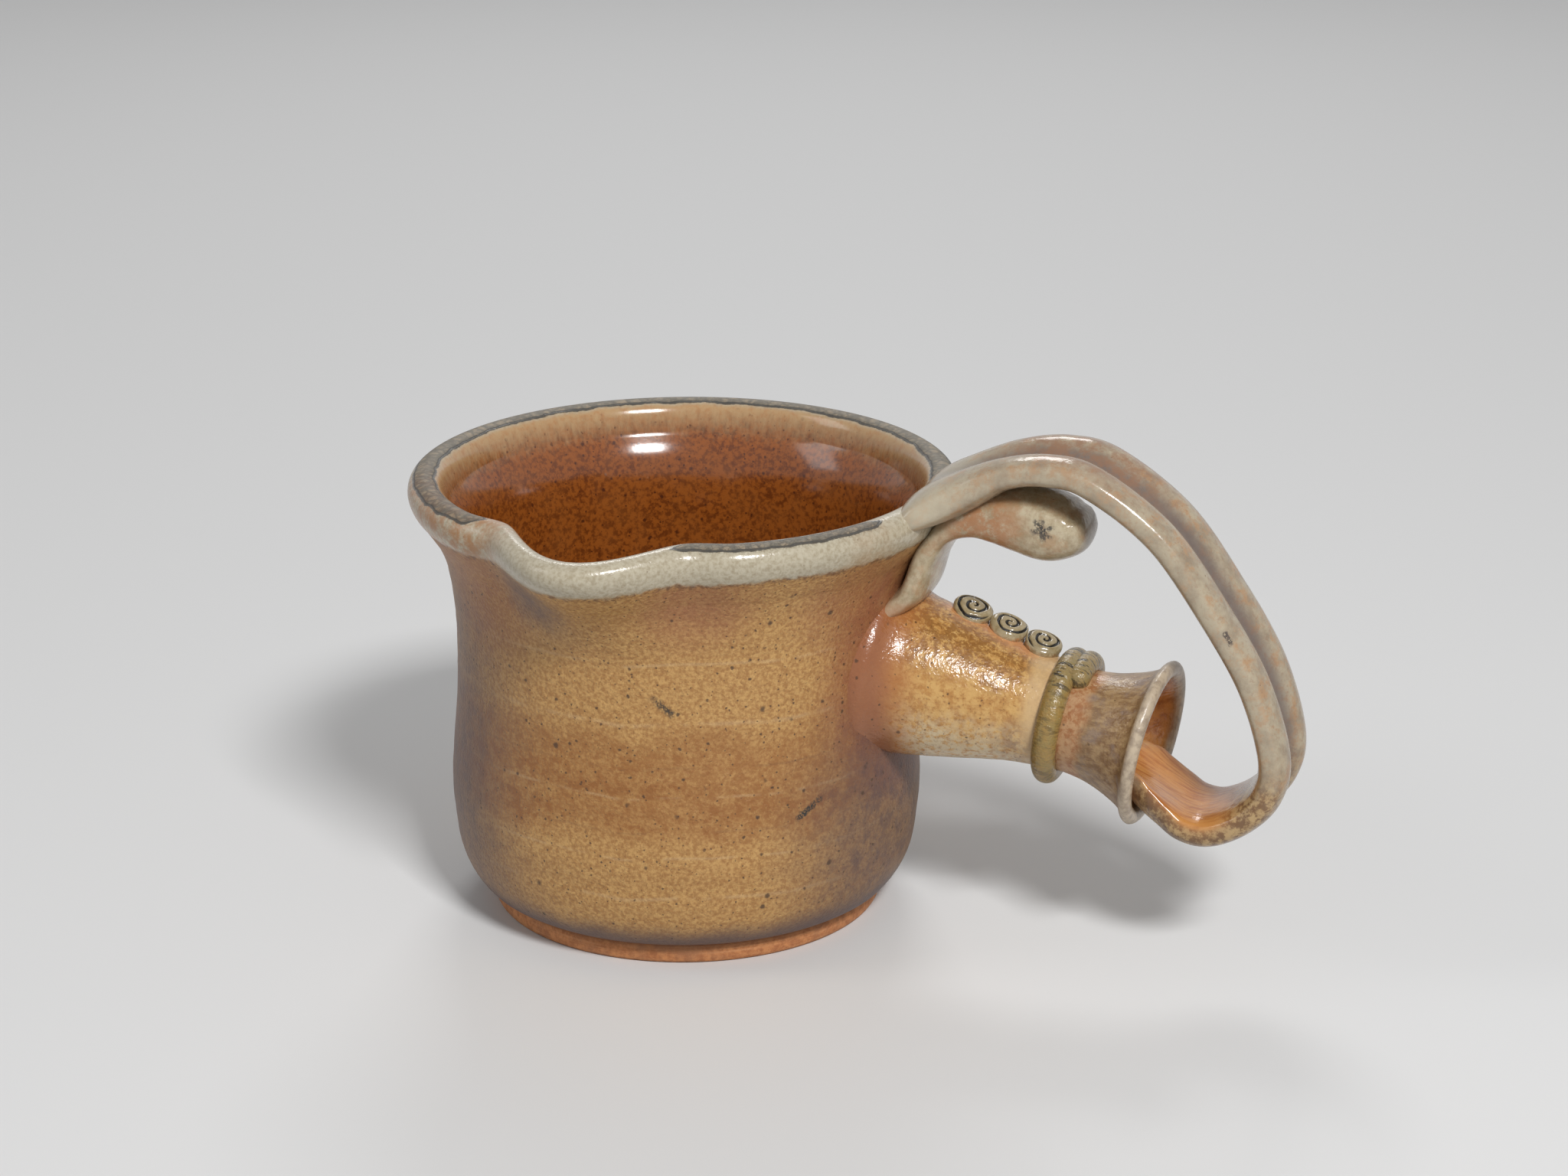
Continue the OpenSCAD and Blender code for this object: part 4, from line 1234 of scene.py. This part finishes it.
follow(bell, SET, turn=(math.radians(BELL_TURN), STEM_TURN[1], 0.0), place=tuple(bell_place),
       material=bell_glaze)
set_solid(bell)
hand_over(bell, "bell_glaze", "bell")

# Pieces swept along a path


def swept_piece(name, stations, outward, across, end_round=(0.0, 0.0)):
    """A chain for the pulled strip.

    Each station is a point (x, y, z) with half width, thickness, groove and dish, in
    millimetres. The ends are rounded off over the two lengths given.
    """
    lengths = [0.0]
    for a, b in zip(stations, stations[1:]):
        lengths.append(lengths[-1] + math.dist(a[:3], b[:3]))
    total = lengths[-1]

    def fullness(length):
        full = 1.0
        for away, reach in ((length, end_round[0]), (total - length, end_round[1])):
            if reach and away < reach:
                full *= math.sqrt(max(0.0, 1 - (1 - away / reach) ** 2))
        return full

    full = [fullness(length) for length in lengths]
    return chain(
        name, [tuple(part * MM for part in station[:3]) for station in stations],
        {"half": [station[3] * MM * f for station, f in zip(stations, full)],
         "thick": [station[4] * MM * f for station, f in zip(stations, full)],
         "groove": [station[5] * MM for station in stations],
         "dish": [station[6] * MM * f for station, f in zip(stations, full)],
         "along": lengths},
        {"outward": outward, "across": across})


def plane_strip(name, knots, spacing, end_round):
    """A strip whose path lies in the handle's own plane."""
    line = smooth_line(knots, spacing)
    stations = [(s, 0.0, z, half, thick, groove, dish) for s, z, half, thick, groove, dish in line]
    outward = []
    last = len(line) - 1
    for i in range(len(line)):
        a = line[max(i - 1, 0)]
        b = line[min(i + 1, last)]
        step = Vector((b[0] - a[0], b[1] - a[1])).normalized()
        outward.append((-step.y, 0.0, step.x))
    return swept_piece(name, stations, outward, [(0.0, 1.0, 0.0)] * len(line), end_round)


mouth_low = stem_point(BELL_END, -(MOUTH_R - BELL_WALL))
bell_mid = stem_point(BELL_START + 0.83 * BELL_LEN, -(MOUTH_R - BELL_WALL - 2))
bell_deep = stem_point(BELL_START + 0.58 * BELL_LEN, -(NECK_R + 1.2 - BELL_WALL))
LOOP_SPAN = STRAP_REACH - RIM_R
LOOP_DROP = ARCH_Z - mouth_low[1]


def station(across, down, half, thick, groove, dish):
    """A strap station given as shares of the loop's span and drop and of the strap's sizes."""
    return (RIM_R + across * LOOP_SPAN, ARCH_Z - down * LOOP_DROP, half * STRAP_HALF,
            thick * STRAP_T, groove * STRAP_GROOVE, dish * STRAP_HALF)


strap_knots = [
    (RIM_R - 1.06 * RIM_ROLL, BODY_H - 5.5, 1.3 * STRAP_HALF, 0.4 * STRAP_T, 0.0, 0.0),
    (RIM_R - 0.28 * RIM_ROLL, BODY_H - 0.9, 1.32 * STRAP_HALF, 1.1 * STRAP_T,
     0.3 * STRAP_GROOVE, 0.0),
    (RIM_R + 0.078 * LOOP_SPAN, BODY_H + 3.2, 1.1 * STRAP_HALF, 1.24 * STRAP_T,
     0.6 * STRAP_GROOVE, 0.0),
    station(0.199, 0.023, 1, 1, 1, 0),
    station(0.328, 0, 1, 1, 1, 0),
    station(0.458, 0.023, 1, 1, 1, 0),
    station(0.655, 0.157, 1, 1, 1, 0),
    station(0.813, 0.36, 1, 1, 1, 0),
    station(0.934, 0.556, 1, 1, 1, 0),
    station(1, 0.757, 1, 1, 1, 0),
    station(0.986, 0.874, 1, 1, 1, 0),
    station(0.92, 0.957, 1, 1.01, 1, 0.025),
    station(0.827, 1.011, 0.98, 1.03, 0.7, 0.07),
    station(0.748, 1.013, 0.95, 1, 0.4, 0.13),
    (mouth_low[0] + 0.66 * STRAP_T, mouth_low[1] + 0.13 * STRAP_T,
     0.9 * STRAP_HALF, 0.93 * STRAP_T, 0.1 * STRAP_GROOVE, 0.22 * STRAP_HALF),
    (mouth_low[0] + 0.08 * STRAP_T, mouth_low[1] + 0.46 * STRAP_T,
     0.83 * STRAP_HALF, 0.87 * STRAP_T, 0.0, 0.3 * STRAP_HALF),
    (bell_mid[0] + 0.08 * STRAP_T, bell_mid[1] + 0.37 * STRAP_T,
     0.75 * STRAP_HALF, 0.76 * STRAP_T, 0.0, 0.37 * STRAP_HALF),
    (bell_deep[0] + 0.05 * STRAP_T, bell_deep[1] + 0.3 * STRAP_T,
     0.58 * STRAP_HALF, 0.6 * STRAP_T, 0.0, 0.3 * STRAP_HALF),
]
strap = plane_strip("strap_handle_pulled", strap_knots, 0.8, (0.0, 2.5))
follow(strap, STRIP, around=96, squareness=0.62, groove_width=0.34, unevenness=0.03,
       lump_size=16 * MM, material=strap_glaze)
trim(strap, cutter, ("strip",))
hand_over(strap, "strap_glaze", "strap_handle")

foot_top = stem_point(1.089 * WAIST_R, 1.05 * ROOT_R)


def bracket_station(across, down, half, curl):
    return (RIM_R + across * LOOP_SPAN, ARCH_Z - down * LOOP_DROP, half * BRACKET_HALF,
            curl * BRACKET_CURL, 0.0, 0.0)


bracket_knots = [
    (foot_top[0] - 0.85 * BRACKET_HALF, foot_top[1] - 0.12 * BRACKET_HALF,
     1.38 * BRACKET_HALF, 0.82 * BRACKET_T, 0.0, 0.0),
    (foot_top[0] - 0.31 * BRACKET_HALF, foot_top[1] + 0.35 * BRACKET_HALF,
     1.21 * BRACKET_HALF, BRACKET_T, 0.0, 0.0),
    (RIM_R - 0.034 * LOOP_SPAN, ARCH_Z - 0.298 * LOOP_DROP, 1.04 * BRACKET_HALF, BRACKET_T,
     0.0, 0.0),
    (RIM_R + 0.017 * LOOP_SPAN, ARCH_Z - 0.223 * LOOP_DROP, BRACKET_HALF, 1.04 * BRACKET_T,
     0.0, 0.0),
    bracket_station(0.086, 0.18, 1, 0.61),
    bracket_station(0.164, 0.166, 1, 0.86),
    bracket_station(0.242, 0.172, 1, 1),
    bracket_station(0.316, 0.189, 0.98, 1),
    bracket_station(0.38, 0.189, 0.9, 0.8),
    bracket_station(0.417, 0.18, 0.74, 0.5),
    bracket_station(0.434, 0.175, 0.48, 0.16),
]
bracket = plane_strip("curled_bracket", bracket_knots, 0.6, (0.0, 1.0))
follow(bracket, STRIP, around=80, squareness=0.66, unevenness=0.03, lump_size=12 * MM,
       material=bracket_glaze)
trim(bracket, cutter, ("strip",))
hand_over(bracket, "bracket_glaze", "bracket")

# Collar: one coil of clay whose ends lie side by side on top of the stem

LAP = 35.0
COIL_SHIFT = 0.56 * COIL_D
coil_stations = []
coil_out = []
COIL_STEPS = 150
for i in range(COIL_STEPS + 1):
    share = i / COIL_STEPS
    turn = math.radians(180 - LAP + share * (360 + 2 * LAP))
    slide = smooth_step(share, 0.55, 0.84) * COIL_SHIFT
    out = stem_turn @ Vector((math.cos(turn), math.sin(turn), 0.0))
    where = Vector((0.0, 0.0, STEM_RISE)) + stem_turn @ Vector(
        (COLLAR_R * math.cos(turn), COLLAR_R * math.sin(turn), COLLAR_AT + slide))
    coil_stations.append((*where, COIL_D / 2, COIL_D, 0.0, 0.0))
    coil_out.append(tuple(out))
coil_across = [tuple(stem_turn @ Vector((0.0, 0.0, 1.0)))] * len(coil_out)
collar = swept_piece("coiled_collar", coil_stations, coil_out, coil_across, (2.2, 2.2))
follow(collar, STRIP, around=40, squareness=1.0, unevenness=0.05, lump_size=5 * MM,
       material=collar_glaze)
set_solid(collar)
hand_over(collar, "collar_glaze", "collar")

# Snail buttons

slope = math.atan((ROOT_R - NECK_R) / (STEM_REACH - STEM_ROOT_AT))
for index in range(3):
    along = button_at(index)
    edge = button_width(index) / 2 + 0.15
    line = smooth_line([
        (0.0, -2.0), (edge - 0.6, -2.0), (edge - 0.1, -1.2), (edge - 0.15, 0.2), (edge, 0.9),
        (edge - 0.1, 1.6), (edge - 0.7, 2.15), (edge - 1.5, 2.3), (0.0, 2.3),
    ], 0.16)
    button = turned_piece("snail_button_%d" % (index + 1), line, lambda k, point: 0.0)
    follow(button, TURNED, around=96, material=button_glaze)
    follow(button, SNAIL, pitch=edge / 2.3 * MM, groove_depth=0.6 * MM, groove_width=0.3,
           start=0.37 * index, edge=(edge - 0.1) * MM, top=BUTTON_H * MM,
           stem_radius=14.0 * MM, material=button_glaze)
    turn = stem_turn @ button_lean @ button_tilt @ Euler((0.0, -math.pi / 2 + slope, 0.0)).to_matrix()
    follow(button, SET, turn=tuple(turn.to_euler()), place=tuple(button_spot(along) * MM),
           material=button_glaze)
    set_solid(button)
    hand_over(button, "button_glaze", "button_%d" % (index + 1))

bpy.data.objects.remove(cutter)

# Floor, light and camera

PALE = (0.7, 0.7, 0.7)


def make_floor():
    mesh = bpy.data.meshes.new("floor")
    side = 4.0
    mesh.from_pydata([(-side, -side, 0), (side, -side, 0), (side, side, 0), (-side, side, 0)],
                     [], [(0, 1, 2, 3)])
    floor = bpy.data.objects.new("floor", mesh)
    bpy.context.scene.collection.objects.link(floor)
    material = bpy.data.materials.new("pale floor")
    material.use_nodes = True
    surface = material.node_tree.nodes["Principled BSDF"]
    surface.inputs["Base Color"].default_value = rgba(PALE)
    surface.inputs["Roughness"].default_value = 0.6
    mesh.materials.append(material)


def make_world():
    world = bpy.data.worlds.new("studio")
    bpy.context.scene.world = world
    world.use_nodes = True
    net = Net(world.node_tree)
    world.node_tree.nodes.clear()
    output = net.node("ShaderNodeOutputWorld")
    rays = net.node("ShaderNodeLightPath")
    seen = net.math("MAXIMUM", net.out(rays, "Is Camera Ray"), net.out(rays, "Is Glossy Ray"))
    seen = net.math("MAXIMUM", seen, net.out(rays, "Is Transmission Ray"))
    strength = net.blend(seen, 0.22, 0.8)
    back = net.node("ShaderNodeBackground", {"Color": (1, 1, 1, 1), "Strength": strength})
    world.node_tree.links.new(back.outputs[0], output.inputs[0])


def make_lamp(name, place, size, power, target=(0.03, 0.0, 0.05)):
    """A rectangular soft lamp that faces the jug."""
    lamp = bpy.data.lights.new(name, "AREA")
    lamp.shape = "RECTANGLE"
    lamp.size, lamp.size_y = size
    lamp.energy = power
    thing = bpy.data.objects.new(name, lamp)
    bpy.context.scene.collection.objects.link(thing)
    away = Vector(place) - Vector(target)
    thing.matrix_world = Matrix.Translation(place) @ away.to_track_quat("Z", "Y").to_matrix().to_4x4()


def make_camera():
    """The photograph's camera: 0.7 m from the jug, about 20 degrees above it."""
    side = math.radians(22.0)
    rise = math.radians(20.04)
    roll = math.radians(-0.63)
    distance = 0.7
    focal = 4402.0
    width, height = 2048, 1536
    aim_x, aim_y = 895.5, 862.7
    target = Vector((0.0, 0.0, 0.05))
    right = Vector((math.cos(side), math.sin(side), 0.0))
    ahead = Vector((-math.sin(side) * math.cos(rise), math.cos(side) * math.cos(rise),
                    -math.sin(rise)))
    down = -right.cross(ahead)
    rows = Matrix((right, down, ahead))
    yaw = math.atan((aim_x - width / 2) / focal)
    pitch = math.atan((aim_y - height / 2) / math.hypot(focal, aim_x - width / 2))
    cr, sr = math.cos(roll), math.sin(roll)
    cp, sp = math.cos(pitch), math.sin(pitch)
    cy, sy = math.cos(yaw), math.sin(yaw)
    rows = Matrix(((cr, -sr, 0), (sr, cr, 0), (0, 0, 1))) @ rows
    rows = Matrix(((1, 0, 0), (0, cp, sp), (0, -sp, cp))) @ rows
    rows = Matrix(((cy, 0, sy), (0, 1, 0), (-sy, 0, cy))) @ rows
    turn = Matrix((rows[0], -rows[1], -rows[2])).transposed()
    camera = bpy.data.cameras.new("camera")
    camera.sensor_width = 36.0
    camera.lens = focal / width * camera.sensor_width
    camera.clip_start = 0.01
    thing = bpy.data.objects.new("camera", camera)
    bpy.context.scene.collection.objects.link(thing)
    thing.matrix_world = Matrix.Translation(target - distance * ahead) @ turn.to_4x4()
    bpy.context.scene.camera = thing


make_floor()
make_world()
make_lamp("key lamp", (0.80, -0.85, 1.15), (0.34, 0.26), 21.0)
make_lamp("left lamp", (-1.0, -0.55, 0.8), (0.4, 0.6), 2.2)
make_lamp("back lamp", (-0.35, 1.1, 1.0), (0.5, 0.3), 4.0)
make_camera()
bpy.context.scene.view_settings.view_transform = "Standard"
